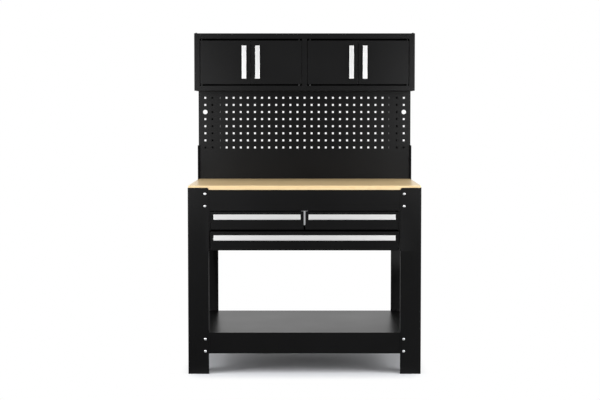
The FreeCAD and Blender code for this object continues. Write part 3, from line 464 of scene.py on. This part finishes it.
def times(tree, first, second):
    """The product of two values."""
    return calculate(tree, "MULTIPLY", first, second)


def minus(tree, first, second):
    """The difference of two values."""
    return calculate(tree, "SUBTRACT", first, second)


def vector(tree, x=0.0, y=0.0, z=0.0):
    """A vector from three values."""
    return node(tree, "ShaderNodeCombineXYZ", {0: x, 1: y, 2: z}).outputs[0]


def moved(tree, geometry, place=None, turn=None, size=None):
    """Geometry moved, turned and scaled."""
    made = node(tree, "GeometryNodeTransform", {"Geometry": geometry})
    for socket, value in (("Translation", place), ("Rotation", turn), ("Scale", size)):
        if isinstance(value, bpy.types.NodeSocket):
            tree.links.new(value, made.inputs[socket])
        elif value is not None:
            made.inputs[socket].default_value = value
    return made.outputs[0]


def copies(tree, points, instance, **inputs):
    """An instance on each point, and the inputs Selection or Rotation."""
    values = {"Points": points, "Instance": instance, **inputs}
    return node(tree, "GeometryNodeInstanceOnPoints", values).outputs[0]


def corners_of(tree):
    """X, Y and Z of each corner."""
    place = node(tree, "GeometryNodeInputPosition").outputs[0]
    return node(tree, "ShaderNodeSeparateXYZ", {0: place}).outputs


def named(tree, name, kind):
    """A named attribute of the points."""
    made = node(tree, "GeometryNodeInputNamedAttribute", {"Name": name}, data_type=kind)
    return made.outputs["Attribute"]


def facing_turn(tree, facing):
    """The turn that points Z along a direction."""
    return node(tree, "FunctionNodeAlignRotationToVector", {"Vector": facing}, axis="Z").outputs[0]


def joined(tree, *parts):
    """Several geometries as one."""
    made = node(tree, "GeometryNodeJoinGeometry")
    for part in parts:
        tree.links.new(part, made.inputs[0])
    return made.outputs[0]


def perforation_tree():
    """A sheet in the XZ plane with a grid of square holes and two round ones in its outer columns."""
    tree, given = new_tree(
        "Perforated sheet",
        ("Width", "Low", "High", "Pitch", "Hole", "Corner", "Lowest Row", "Cable Hole", "Sheet"),
        ("Columns", "Rows", "Cable Row"))
    pitch = given["Pitch"]
    tall = minus(tree, given["High"], given["Low"])
    centre = times(tree, calculate(tree, "ADD", given["High"], given["Low"]), 0.5)
    outline = node(tree, "GeometryNodeCurvePrimitiveQuadrilateral", {"Width": given["Width"], "Height": tall})
    outline = moved(tree, outline.outputs[0], vector(tree, y=centre))
    square = node(tree, "GeometryNodeCurvePrimitiveQuadrilateral",
                  {"Width": given["Hole"], "Height": given["Hole"]})
    square = node(tree, "GeometryNodeFilletCurve",
                  {"Curve": square.outputs[0], "Radius": given["Corner"], "Count": 3}, mode="POLY")
    wide = times(tree, minus(tree, given["Columns"], 1.0), pitch)
    high = times(tree, minus(tree, given["Rows"], 1.0), pitch)
    grid = node(tree, "GeometryNodeMeshGrid", {
        "Size X": wide, "Size Y": high, "Vertices X": given["Columns"], "Vertices Y": given["Rows"]})
    row_middle = calculate(tree, "ADD", given["Lowest Row"], times(tree, high, 0.5))
    grid = moved(tree, grid.outputs[0], vector(tree, y=row_middle))
    spot = corners_of(tree)
    half_pitch = times(tree, pitch, 0.5)
    edge = minus(tree, times(tree, wide, 0.5), half_pitch)
    outer = calculate(tree, "GREATER_THAN", calculate(tree, "ABSOLUTE", spot[0]), edge)
    cable_height = calculate(tree, "ADD", given["Lowest Row"], times(tree, given["Cable Row"], pitch))
    off = calculate(tree, "ABSOLUTE", minus(tree, spot[1], cable_height))
    level = calculate(tree, "LESS_THAN", off, half_pitch)
    cable = times(tree, outer, level)
    plain = minus(tree, 1.0, cable)
    holes = copies(tree, grid, square.outputs[0], Selection=plain)
    radius = times(tree, given["Cable Hole"], 0.5)
    circle = node(tree, "GeometryNodeCurvePrimitiveCircle", {"Resolution": 48, "Radius": radius})
    rounds = copies(tree, grid, circle.outputs[0], Selection=cable)
    lines = joined(tree, outline, holes, rounds)
    lines = node(tree, "GeometryNodeRealizeInstances", {"Geometry": lines}).outputs[0]
    filled = node(tree, "GeometryNodeFillCurve", {"Curve": lines}).outputs[0]
    raised = node(tree, "GeometryNodeExtrudeMesh",
                  {"Mesh": filled, "Offset Scale": given["Sheet"], "Individual": False})
    back = node(tree, "GeometryNodeFlipFaces", {"Mesh": filled}).outputs[0]
    closed = node(tree, "GeometryNodeMergeByDistance",
                  {"Geometry": joined(tree, raised.outputs[0], back), "Distance": WELD}).outputs[0]
    upright = moved(tree, closed, vector(tree, y=given["Sheet"]), (math.radians(90), 0, 0))
    end_tree(tree, upright, given["Material"])
    return tree


def bolt_tree():
    """Round-head bolts with square necks and closed nuts, on points that know where they face."""
    tree, given = new_tree(
        "Bolts and closed nuts", ("Head Width", "Head Height", "Neck", "Nut Flats", "Nut Height"))
    facing, grip = named(tree, "facing", "FLOAT_VECTOR"), named(tree, "grip", "FLOAT")
    turn = facing_turn(tree, facing)

    sphere = node(tree, "GeometryNodeMeshUVSphere", {"Segments": 28, "Rings": 12, "Radius": 1.0})
    spot = corners_of(tree)
    radius = times(tree, given["Head Width"], 0.5)
    land = times(tree, given["Head Height"], RIM)
    dome = minus(tree, given["Head Height"], land)
    crown = times(tree, calculate(tree, "MINIMUM", spot[2], 0.0), dome)
    rim = times(tree, calculate(tree, "LESS_THAN", spot[2], EQUATOR), land)
    across, along = times(tree, spot[0], radius), times(tree, spot[1], radius)
    shaped = vector(tree, across, along, minus(tree, crown, rim))
    head = node(tree, "GeometryNodeSetPosition", {"Geometry": sphere.outputs[0], "Position": shaped})
    head = node(tree, "GeometryNodeSetShadeSmooth", {"Geometry": head.outputs[0]}).outputs[0]
    neck_long = times(tree, given["Neck"], NECK_LONG)
    neck = node(tree, "GeometryNodeMeshCube",
                {"Size": vector(tree, given["Neck"], given["Neck"], neck_long)}).outputs[0]
    neck = moved(tree, neck, vector(tree, z=times(tree, neck_long, 0.5)))
    heads = copies(tree, given["Geometry"], joined(tree, head, neck), Rotation=turn)

    corner = calculate(tree, "DIVIDE", given["Nut Flats"], 2 * math.cos(math.radians(30)))
    hex_tall = times(tree, given["Nut Height"], HEXAGON)
    prism = node(tree, "GeometryNodeMeshCylinder", {"Vertices": 6, "Radius": corner, "Depth": hex_tall})
    prism = moved(tree, prism.outputs[0], vector(tree, z=times(tree, hex_tall, 0.5)))
    cap = node(tree, "GeometryNodeMeshUVSphere", {"Segments": 24, "Rings": 12, "Radius": 1.0})
    cap_wide = times(tree, given["Nut Flats"], CAP)
    cap_tall = minus(tree, given["Nut Height"], hex_tall)
    cap_size = vector(tree, cap_wide, cap_wide, cap_tall)
    cap = moved(tree, cap.outputs[0], vector(tree, z=hex_tall), size=cap_size)
    cap = node(tree, "GeometryNodeSetShadeSmooth", {"Geometry": cap}).outputs[0]
    shift = node(tree, "ShaderNodeVectorMath", {0: facing, "Scale": grip}, operation="SCALE").outputs[0]
    seats = node(tree, "GeometryNodeSetPosition", {"Geometry": given["Geometry"], "Offset": shift})
    nuts = copies(tree, seats.outputs[0], joined(tree, prism, cap), Rotation=turn)
    end_tree(tree, joined(tree, heads, nuts), given["Material"])
    return tree


def screw_tree():
    """Pan-head screws on points that know where they face."""
    tree, given = new_tree("Pan-head screws", ("Head Width", "Head Height", "Shank", "Length"))
    turn = facing_turn(tree, named(tree, "facing", "FLOAT_VECTOR"))
    sphere = node(tree, "GeometryNodeMeshUVSphere", {"Segments": 24, "Rings": 10, "Radius": 0.5})
    size = vector(tree, given["Head Width"], given["Head Width"], times(tree, given["Head Height"], 2.0))
    pan = moved(tree, sphere.outputs[0], size=size)
    spot = corners_of(tree)
    under = vector(tree, spot[0], spot[1], calculate(tree, "MINIMUM", spot[2], 0.0))
    pan = node(tree, "GeometryNodeSetPosition", {"Geometry": pan, "Position": under}).outputs[0]
    slot_long = times(tree, given["Head Width"], CROSS_LONG)
    slot_wide = times(tree, given["Head Width"], CROSS_WIDE)
    deep = times(tree, given["Head Height"], CROSS_DEEP)
    level = vector(tree, z=times(tree, given["Head Height"], -1.0))
    cross = node(tree, "GeometryNodeMeshBoolean", operation="DIFFERENCE")
    tree.links.new(pan, cross.inputs["Mesh 1"])
    for x, y in ((slot_long, slot_wide), (slot_wide, slot_long)):
        slot = node(tree, "GeometryNodeMeshCube", {"Size": vector(tree, x, y, deep)}).outputs[0]
        tree.links.new(moved(tree, slot, level), cross.inputs["Mesh 2"])
    shank = node(tree, "GeometryNodeMeshCylinder", {
        "Vertices": 16, "Radius": times(tree, given["Shank"], 0.5), "Depth": given["Length"]})
    shank = moved(tree, shank.outputs[0], vector(tree, z=times(tree, given["Length"], 0.5)))
    screws = copies(tree, given["Geometry"], joined(tree, cross.outputs[0], shank), Rotation=turn)
    end_tree(tree, screws, given["Material"])
    return tree


def ball_tree():
    """Rows of balls in thin cages, which start at the points and run to the rear."""
    tree, given = new_tree("Ball rows", ("Ball", "Step"), ("Count",))
    row = node(tree, "GeometryNodeMeshLine",
               {"Count": given["Count"], "Offset": vector(tree, y=given["Step"])})
    radius = times(tree, given["Ball"], 0.5)
    ball = node(tree, "GeometryNodeMeshUVSphere", {"Segments": 8, "Rings": 5, "Radius": radius})
    smooth = node(tree, "GeometryNodeSetShadeSmooth", {"Geometry": ball.outputs[0]})
    balls = copies(tree, row.outputs[0], smooth.outputs[0])
    long = times(tree, given["Count"], given["Step"])
    half_step = times(tree, given["Step"], 0.5)
    middle = minus(tree, times(tree, long, 0.5), half_step)
    cage_wide = times(tree, given["Ball"], CAGE_WIDE)
    cage_thick = times(tree, given["Ball"], CAGE_THICK)
    cage = node(tree, "GeometryNodeMeshCube", {"Size": vector(tree, cage_wide, long, cage_thick)})
    cage = moved(tree, cage.outputs[0], vector(tree, y=middle))
    rows = copies(tree, given["Geometry"], joined(tree, balls, cage))
    end_tree(tree, rows, given["Material"])
    return tree


def solids_of(name):
    """The corners of each separate solid in a node."""
    shape = bmesh.new()
    shape.from_mesh(NODES[name].data)
    bmesh.ops.remove_doubles(shape, verts=shape.verts, dist=WELD)
    left, solids = set(shape.verts), []
    for start in shape.verts:
        if start not in left:
            continue
        left.remove(start)
        reached = [start]
        for corner in reached:
            for edge in corner.link_edges:
                other = edge.other_vert(corner)
                if other in left:
                    left.remove(other)
                    reached.append(other)
        solids.append([corner.co.copy() for corner in reached])
    shape.free()
    return solids


def box_of(corners):
    """Lowest and highest corner of some points."""
    low = Vector(min(point[i] for point in corners) for i in range(3))
    high = Vector(max(point[i] for point in corners) for i in range(3))
    return low, high


def fastener_seats(name, head_width):
    """Where each head of a node sits, which way its shank points and how long that is."""
    seats = []
    for corners in solids_of(name):
        low, high = box_of(corners)
        size = high - low
        width = sorted(size)[1]
        if abs(width - head_width) > head_width * HEAD_MATCH:
            continue
        axis = max(range(3), key=lambda i: abs(size[i] - width))
        middle = (low + high) / 2
        head = [point for point in corners if (point - middle).cross(Vector(
            1.0 if i == axis else 0.0 for i in range(3))).length > width * HEAD_SIDE]
        head_low, head_high = box_of(head)
        forward = high[axis] - head_high[axis] > head_low[axis] - low[axis]
        seat = middle.copy()
        seat[axis] = head_high[axis] if forward else head_low[axis]
        facing = Vector((0, 0, 0))
        facing[axis] = 1.0 if forward else -1.0
        length = high[axis] - seat[axis] if forward else seat[axis] - low[axis]
        seats.append((seat, facing, length))
    return seats


def points_mesh(seats):
    """Points for a tree, with the way that each faces and its shank's length."""
    mesh = bpy.data.meshes.new("seats")
    mesh.from_pydata([seat for seat, facing, length in seats], [], [])
    ways = mesh.attributes.new("facing", "FLOAT_VECTOR", "POINT")
    ways.data.foreach_set("vector", [number for seat, facing, length in seats for number in facing])
    grips = mesh.attributes.new("grip", "FLOAT", "POINT")
    grips.data.foreach_set("value", [length for seat, facing, length in seats])
    return mesh


def join_meshes(name, *meshes):
    """Several meshes as one."""
    shape = bmesh.new()
    for mesh in meshes:
        shape.from_mesh(mesh)
    whole = bpy.data.meshes.new(name)
    shape.to_mesh(whole)
    shape.free()
    return whole


class WORKBENCH_OT_finishes(bpy.types.Operator):
    """Make the paint, the metals, the wood and the plastic."""

    bl_idname = "workbench.finishes"
    bl_label = "Finishes"

    def execute(self, context):
        colours = context.scene.workbench_colours
        make_paint(colours)
        make_metal("aluminium", colours.aluminium, 1200.0, 0.34, 0.01)
        make_metal("zinc", colours.zinc, 400.0, 0.36, 0.06)
        make_wood(colours)
        make_plastic(colours)
        return {"FINISHED"}


def round_fold(shape, x, y, low, high, radius, segments):
    """Round an upright edge between two heights, as a folded sheet's corner is."""
    fold = [edge for edge in shape.edges if all(
        abs(corner.co.x - x) < WELD and abs(corner.co.y - y) < WELD
        and low - WELD < corner.co.z < high + WELD for corner in edge.verts)]
    bmesh.ops.bevel(shape, geom=fold, offset=radius, segments=segments, profile=0.5, affect="EDGES")


class WORKBENCH_OT_frame(bpy.types.Operator):
    """Form the legs, the rails, the shelf, the drawer case and the wall's posts."""

    bl_idname = "workbench.frame"
    bl_label = "Steel frame"

    def execute(self, context):
        sizes = context.scene.workbench_sizes
        for name in sorted(NODES):
            if name.startswith(("front_leg_", "rear_leg_")):
                self.make_leg(name, sizes)
            elif name.startswith(("top_rail_", "bottom_rail_", "wall_post_")):
                form(name, sizes.sheet_edge)
        for name in ("shelf", "drawer_case", "case_back", "centre_hanger"):
            form(name, sizes.sheet_edge)
        return {"FINISHED"}

    def make_leg(self, name, sizes):
        """A leg whose inner lip has a rounded fold."""
        low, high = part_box(name)
        inner = min(low.x, high.x, key=abs)
        face = low.y if name.startswith("front") else high.y
        shape = welded(name)
        for height in (sizes.lip_low, sizes.lip_high):
            everything = shape.verts[:] + shape.edges[:] + shape.faces[:]
            bmesh.ops.bisect_plane(
                shape, geom=everything, dist=WELD, plane_co=(0, 0, height), plane_no=(0, 0, 1))
        round_fold(shape, inner, face, sizes.lip_low, sizes.lip_high, sizes.lip_fold, segments=5)
        add_piece(f"folded_{name}", new_mesh(f"folded_{name}", shape), name, sizes.sheet_edge)


class WORKBENCH_OT_worktop(bpy.types.Operator):
    """Round the edges of the wooden top."""

    bl_idname = "workbench.worktop"
    bl_label = "Wooden top"

    def execute(self, context):
        form("worktop", context.scene.workbench_sizes.wood_edge, segments=3)
        return {"FINISHED"}


class WORKBENCH_OT_board(bpy.types.Operator):
    """Make the perforated board with its side flanges and its foot."""

    bl_idname = "workbench.board"
    bl_label = "Perforated board"

    def execute(self, context):
        sizes = context.scene.workbench_sizes
        low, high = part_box("pegboard")
        sheet = sizes.board_sheet
        front = grow(perforation_tree(), bpy.data.meshes.new("start"), "pegboard", {
            "Width": high.x - low.x - sheet * 2, "Low": low.z, "High": high.z, "Pitch": sizes.pitch,
            "Hole": sizes.hole, "Corner": sizes.hole_corner, "Columns": sizes.columns, "Rows": sizes.rows,
            "Lowest Row": sizes.lowest_row, "Cable Hole": sizes.cable_hole, "Cable Row": sizes.cable_row,
            "Sheet": sheet})
        front.transform(Matrix.Translation((0, low.y, 0)))
        shape = bmesh.new()
        for near, far in ((low.x, low.x + sheet), (high.x - sheet, high.x)):
            corners = add_box(shape, Vector((near, low.y, low.z)), Vector((far, high.y, high.z)))
            outer = max((corner.co.x for corner in corners), key=abs)
            round_fold(shape, outer, low.y, low.z, high.z, sheet * BOARD_FOLD, segments=4)
        foot_low = Vector((low.x + sheet, low.y + sheet, low.z))
        add_box(shape, foot_low, Vector((high.x - sheet, low.y + sizes.board_foot, low.z + sheet)))
        flanges = new_mesh("flanges", shape)
        add_piece("perforated_board", join_meshes("perforated_board", front, flanges), "pegboard")
        return {"FINISHED"}


class WORKBENCH_OT_cabinet(bpy.types.Operator):
    """Form the cabinet's carcass, its pins and its catches."""

    bl_idname = "workbench.cabinet"
    bl_label = "Cabinet"

    def execute(self, context):
        sizes = context.scene.workbench_sizes
        for name in sorted(NODES):
            if name.startswith("cabinet_") and SLOT_OF[name] == "black_paint":
                form(name, sizes.sheet_edge)
        self.make_pins(sizes)
        form("door_catches", sizes.catch_edge, segments=3)
        return {"FINISHED"}

    def make_pins(self, sizes):
        """Turned pins, the lower ones with a collar that carries the door."""
        shape = bmesh.new()
        radius, wide = sizes.pin / 2, sizes.collar / 2
        for corners in solids_of("door_pivots"):
            low, high = box_of(corners)
            middle = (low + high) / 2
            foot = Vector((middle.x, middle.y, low.z))
            tall = high.z - low.z
            rim = radius * PIN_RIM
            profile = [(0, radius - rim), (rim, radius)]
            collar = [point.z for point in corners if abs(point.x - middle.x) > radius * COLLAR_SIDE]
            if collar:
                top = max(collar) - low.z - rim / 2
                profile = [(0, wide - rim), (rim, wide), (top - rim, wide), (top, wide - rim), (top, radius)]
            add_round(shape, profile + [(tall - rim, radius), (tall, radius - rim)], foot, Vector((0, 0, 1)))
        add_piece("turned_pins", new_mesh("turned_pins", shape), "door_pivots")


class WORKBENCH_OT_doors(bpy.types.Operator):
    """Form the doors and make their bar handles."""

    bl_idname = "workbench.doors"
    bl_label = "Doors"

    def execute(self, context):
        sizes = context.scene.workbench_sizes
        for name in sorted(NODES):
            if name.startswith("door_handle_"):
                self.make_handle(name, sizes)
            elif name.startswith("door_") and BODY_OF[name] != BENCH:
                form(name, sizes.panel_edge)
        return {"FINISHED"}

    def make_handle(self, name, sizes):
        """A flat bar on two round posts."""
        low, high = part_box(name)
        shape = bmesh.new()
        bar_back = low.y + sizes.bar_thickness
        add_box(shape, low, Vector((high.x, bar_back, high.z)))
        middle = (low.x + high.x) / 2
        reach = high.y - bar_back
        radius = sizes.post_width / 2
        foot = radius * FLARE
        profile = [(0, radius), (reach - FLARE_LOW, radius), (reach - FLARE_HIGH, foot), (reach, foot)]
        for height in (low.z + sizes.post_inset, high.z - sizes.post_inset):
            add_round(shape, profile, Vector((middle, bar_back, height)), Vector((0, 1, 0)))
        add_piece(f"bar_{name}", new_mesh(f"bar_{name}", shape), name, sizes.bar_edge, 3)


class WORKBENCH_OT_drawers(bpy.types.Operator):
    """Form the drawers' fronts, boxes and pulls, and put the balls into their slides."""

    bl_idname = "workbench.drawers"
    bl_label = "Drawers"

    def execute(self, context):
        sizes = context.scene.workbench_sizes
        for name in sorted(NODES):
            if name.startswith("drawer_front_"):
                form(name, sizes.panel_edge)
            elif name.startswith(("drawer_box_", "drawer_pull_", "slide_")):
                form(name, sizes.sheet_edge)
        rows = ball_tree()
        for name in sorted(NODES):
            if name.startswith("slide_runners_"):
                self.add_balls(name, rows, sizes)
        return {"FINISHED"}

    def add_balls(self, runners, rows, sizes):
        """Balls above and below each runner: outside at its rear half, inside at its front half."""
        drawer = runners.removeprefix("slide_runners_")
        channels, bars = solids_of(f"slide_channels_{drawer}"), solids_of(f"slide_bars_{drawer}")
        starts = []
        for corners in solids_of(runners):
            low, high = box_of(corners)
            outside = min((box_of(solid) for solid in channels), key=lambda box: abs(box[0].x - low.x))
            inside = min((box_of(solid) for solid in bars), key=lambda box: abs(box[0].x - low.x))
            long = sizes.ball_step * (sizes.balls - 1)
            for (inner_low, inner_high), (outer_low, outer_high), start in (
                    ((low, high), outside, high.y - sizes.ball_step - long),
                    (inside, (low, high), low.y + sizes.ball_step)):
                x = (max(inner_low.x, outer_low.x) + min(inner_high.x, outer_high.x)) / 2
                for inner, outer in ((inner_low.z, outer_low.z), (inner_high.z, outer_high.z)):
                    sheet = math.copysign(sizes.slide_sheet, inner - outer)
                    starts.append(((x, start, (inner + outer + sheet) / 2), Vector(), 0.0))
        balls = grow(rows, points_mesh(starts), runners, {
            "Ball": sizes.ball, "Step": sizes.ball_step, "Count": sizes.balls})
        add_piece(f"balls_{drawer}", balls, runners, replaces=False)


class WORKBENCH_OT_fasteners(bpy.types.Operator):
    """Make the round-head bolts, their closed nuts and the screws."""

    bl_idname = "workbench.fasteners"
    bl_label = "Bolts and screws"

    def execute(self, context):
        sizes = context.scene.workbench_sizes
        bolts = bolt_tree()
        values = {"Head Width": sizes.head_width, "Head Height": sizes.head_height, "Neck": sizes.neck,
                  "Nut Flats": sizes.nut_flats, "Nut Height": sizes.nut_height}
        for name in ("front_bolts", "rear_bolts", "side_bolts", "cabinet_bolts"):
            mesh = grow(bolts, points_mesh(fastener_seats(name, sizes.head_width)), name, values)
            if name == "cabinet_bolts":
                mesh = join_meshes(f"round_{name}", mesh, self.make_spacers(sizes))
            add_piece(f"round_{name}", mesh, name)
        self.make_screws(sizes)
        return {"FINISHED"}

    def make_spacers(self, sizes):
        """Round spacers between the cabinet and the wall's posts."""
        shape = bmesh.new()
        for corners in solids_of("cabinet_bolts"):
            low, high = box_of(corners)
            if abs(high.x - low.x - sizes.spacer) < WELD:
                middle = (low + high) / 2
                radius, long = sizes.spacer / 2, high.y - low.y
                rim = long * SPACER_RIM
                profile = [(0, radius - rim), (rim, radius), (long - rim, radius), (long, radius - rim)]
                add_round(shape, profile, Vector((middle.x, low.y, middle.z)), Vector((0, 1, 0)))
        return new_mesh("spacers", shape)

    def make_screws(self, sizes):
        """Pan-head screws that hold the top and the drawer case to the rails."""
        screws = screw_tree()
        for name in ("worktop_screws", "case_screws"):
            seats = fastener_seats(name, sizes.screw_head)
            mesh = grow(screws, points_mesh(seats), name, {
                "Head Width": sizes.screw_head, "Head Height": sizes.screw_head_height, "Shank": sizes.screw,
                "Length": seats[0][2]})
            add_piece(f"pan_head_{name}", mesh, name)


class WORKBENCH_OT_stage(bpy.types.Operator):
    """Set the floor, the white background, the lamps and the camera."""

    bl_idname = "workbench.stage"
    bl_label = "Stage"

    def execute(self, context):
        view = context.scene.workbench_view
        self.make_floor(context.scene.workbench_colours.floor, view.mirrored_floor)
        self.make_world(context.scene, view)
        middle = Vector((0, 0, 0.9))
        self.add_lamp("Lamp above", (0.0, -0.9, 3.6), middle, (3.2, 2.4), view.above)
        for name, way in (("left", -1), ("right", 1)):
            self.add_lamp(f"Lamp {name}", (way * 2.8, -1.1, 1.1), middle, (1.4, 1.4), view.side)
            sheen = self.add_lamp(f"Sheen {name}", (way * 1.3, -2.4, 1.25), middle, (0.7, 0.9), view.sheen)
            sheen.visible_diffuse = False
        self.add_camera(context.scene, view)
        return {"FINISHED"}

    def seen(self, tree, *kinds):
        """1 for the named kinds of ray, such as Camera."""
        rays = node(tree, "ShaderNodeLightPath").outputs
        total = 0.0
        for kind in kinds:
            total = calculate(tree, "ADD", rays[f"Is {kind} Ray"], total)
        return total

    def make_floor(self, colour, mirrored):
        """A pale floor that keeps the bench's shadow and turns white away from it, and dim in reflections."""
        shape = bmesh.new()
        bmesh.ops.create_grid(shape, x_segments=1, y_segments=1, size=FLOOR_HALF)
        floor = bpy.data.objects.new("floor", new_mesh("floor", shape))
        show(floor)
        tree, shader, place = new_material("Pale floor")
        shader.inputs["Base Color"].default_value = (*colour, 1.0)
        shader.inputs["Roughness"].default_value = 0.6
        shader.inputs["Specular IOR Level"].default_value = 0.2
        glossy = self.seen(tree, "Glossy")
        strength = node(tree, "ShaderNodeMix", {0: glossy, 2: 1.0, 3: mirrored}).outputs[0]
        white = node(tree, "ShaderNodeEmission", {"Color": (1, 1, 1, 1), "Strength": strength})
        high = CAD_BOX[1]
        core = (high[0] - FLOOR_INSET, high[1], 0.0)
        near = vectors(tree, "ABSOLUTE", place)[0]
        over = vectors(tree, "SUBTRACT", near, core)[0]
        beyond = vectors(tree, "MAXIMUM", over)[0]
        away = vectors(tree, "LENGTH", beyond)["Value"]
        far = node(tree, "ShaderNodeMapRange",
                   {"Value": away, "From Min": 0.0, "From Max": FLOOR_FADE}, interpolation_type="SMOOTHSTEP")
        factor = times(tree, far.outputs[0], self.seen(tree, "Camera", "Transmission", "Glossy"))
        mix = node(tree, "ShaderNodeMixShader", {0: factor, 1: shader.outputs[0], 2: white.outputs[0]})
        tree.links.new(mix.outputs[0], tree.nodes["Material Output"].inputs["Surface"])
        floor.data.materials.append(bpy.data.materials["Pale floor"])

    def make_world(self, scene, view):
        """White where the background shows, dim before the bench in reflections, a soft light elsewhere."""
        world = bpy.data.worlds.new("White room")
        world.use_nodes = True
        tree = world.node_tree
        way = node(tree, "ShaderNodeTexCoord").outputs["Generated"]
        parts = node(tree, "ShaderNodeSeparateXYZ", {0: way}).outputs
        before = between(tree, parts["Z"], view.ahead, view.ahead * AHEAD_HIGH, *AHEAD_BAND)
        mirrored = between(tree, parts["Y"], before, view.behind, *BEHIND_BAND)
        shown = self.seen(tree, "Camera", "Transmission")
        mix = node(tree, "ShaderNodeMix", {0: self.seen(tree, "Glossy"), 2: view.ambient, 3: mirrored})
        strength = node(tree, "ShaderNodeMix", {0: shown, 2: mix.outputs[0], 3: 1.0})
        background = tree.nodes["Background"]
        background.inputs["Color"].default_value = (1, 1, 1, 1)
        tree.links.new(strength.outputs[0], background.inputs["Strength"])
        scene.world = world

    def add_lamp(self, name, place, target, size, power):
        """A soft box lamp that looks at a point."""
        lamp = bpy.data.lights.new(name, "AREA")
        lamp.shape = "RECTANGLE"
        lamp.size, lamp.size_y = size
        lamp.energy = power
        item = bpy.data.objects.new(name, lamp)
        item.location = place
        item.rotation_euler = (target - Vector(place)).to_track_quat("-Z", "Y").to_euler()
        item.visible_camera = False
        show(item)
        return item

    def add_camera(self, scene, view):
        """The camera before the bench, slightly above its middle."""
        data = bpy.data.cameras.new("Camera")
        data.sensor_width = SENSOR
        data.lens = view.focal * SENSOR
        data.shift_x = (PICTURE[0] / 2 - view.middle[0]) / PICTURE[0]
        data.shift_y = (view.middle[1] - PICTURE[1] / 2) / PICTURE[0]
        data.clip_end = 100.0
        camera = bpy.data.objects.new("Camera", data)
        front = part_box("front_leg_left")[0].y
        camera.location = (0.0, front - view.distance, view.height)
        camera.rotation_euler = (math.radians(90) - view.tilt, 0.0, 0.0)
        show(camera)
        scene.camera = camera


class WORKBENCH_PT_panel(bpy.types.Panel):
    """The workbench's pieces in the sidebar."""

    bl_idname = "WORKBENCH_PT_panel"
    bl_label = "Workbench"
    bl_space_type = "VIEW_3D"
    bl_region_type = "UI"
    bl_category = "Workbench"

    def draw(self, context):
        for operator in OPERATORS:
            self.layout.operator(operator.bl_idname)
        for group in ("workbench_sizes", "workbench_colours", "workbench_view"):
            settings = getattr(context.scene, group)
            box = self.layout.box()
            for name in settings.bl_rna.properties.keys():
                if name not in ("name", "rna_type"):
                    box.prop(settings, name)


OPERATORS = (
    WORKBENCH_OT_finishes,
    WORKBENCH_OT_frame,
    WORKBENCH_OT_worktop,
    WORKBENCH_OT_board,
    WORKBENCH_OT_cabinet,
    WORKBENCH_OT_doors,
    WORKBENCH_OT_drawers,
    WORKBENCH_OT_fasteners,
    WORKBENCH_OT_stage,
)
CLASSES = (WorkbenchSizes, WorkbenchColours, WorkbenchView, *OPERATORS, WORKBENCH_PT_panel)


def register():
    """Add the classes and the scene's settings."""
    for item in CLASSES:
        bpy.utils.register_class(item)
    bpy.types.Scene.workbench_sizes = PointerProperty(type=WorkbenchSizes)
    bpy.types.Scene.workbench_colours = PointerProperty(type=WorkbenchColours)
    bpy.types.Scene.workbench_view = PointerProperty(type=WorkbenchView)


def unregister():
    """Take the settings and the classes away again."""
    for name in ("workbench_sizes", "workbench_colours", "workbench_view"):
        delattr(bpy.types.Scene, name)
    for item in reversed(CLASSES):
        bpy.utils.unregister_class(item)


def main():
    """Build the finished workbench and its stage."""
    register()
    for operator in OPERATORS:
        group, name = operator.bl_idname.split(".")
        getattr(getattr(bpy.ops, group), name)()
    bpy.context.scene.view_settings.view_transform = "Standard"


if __name__ == "__main__":
    main()
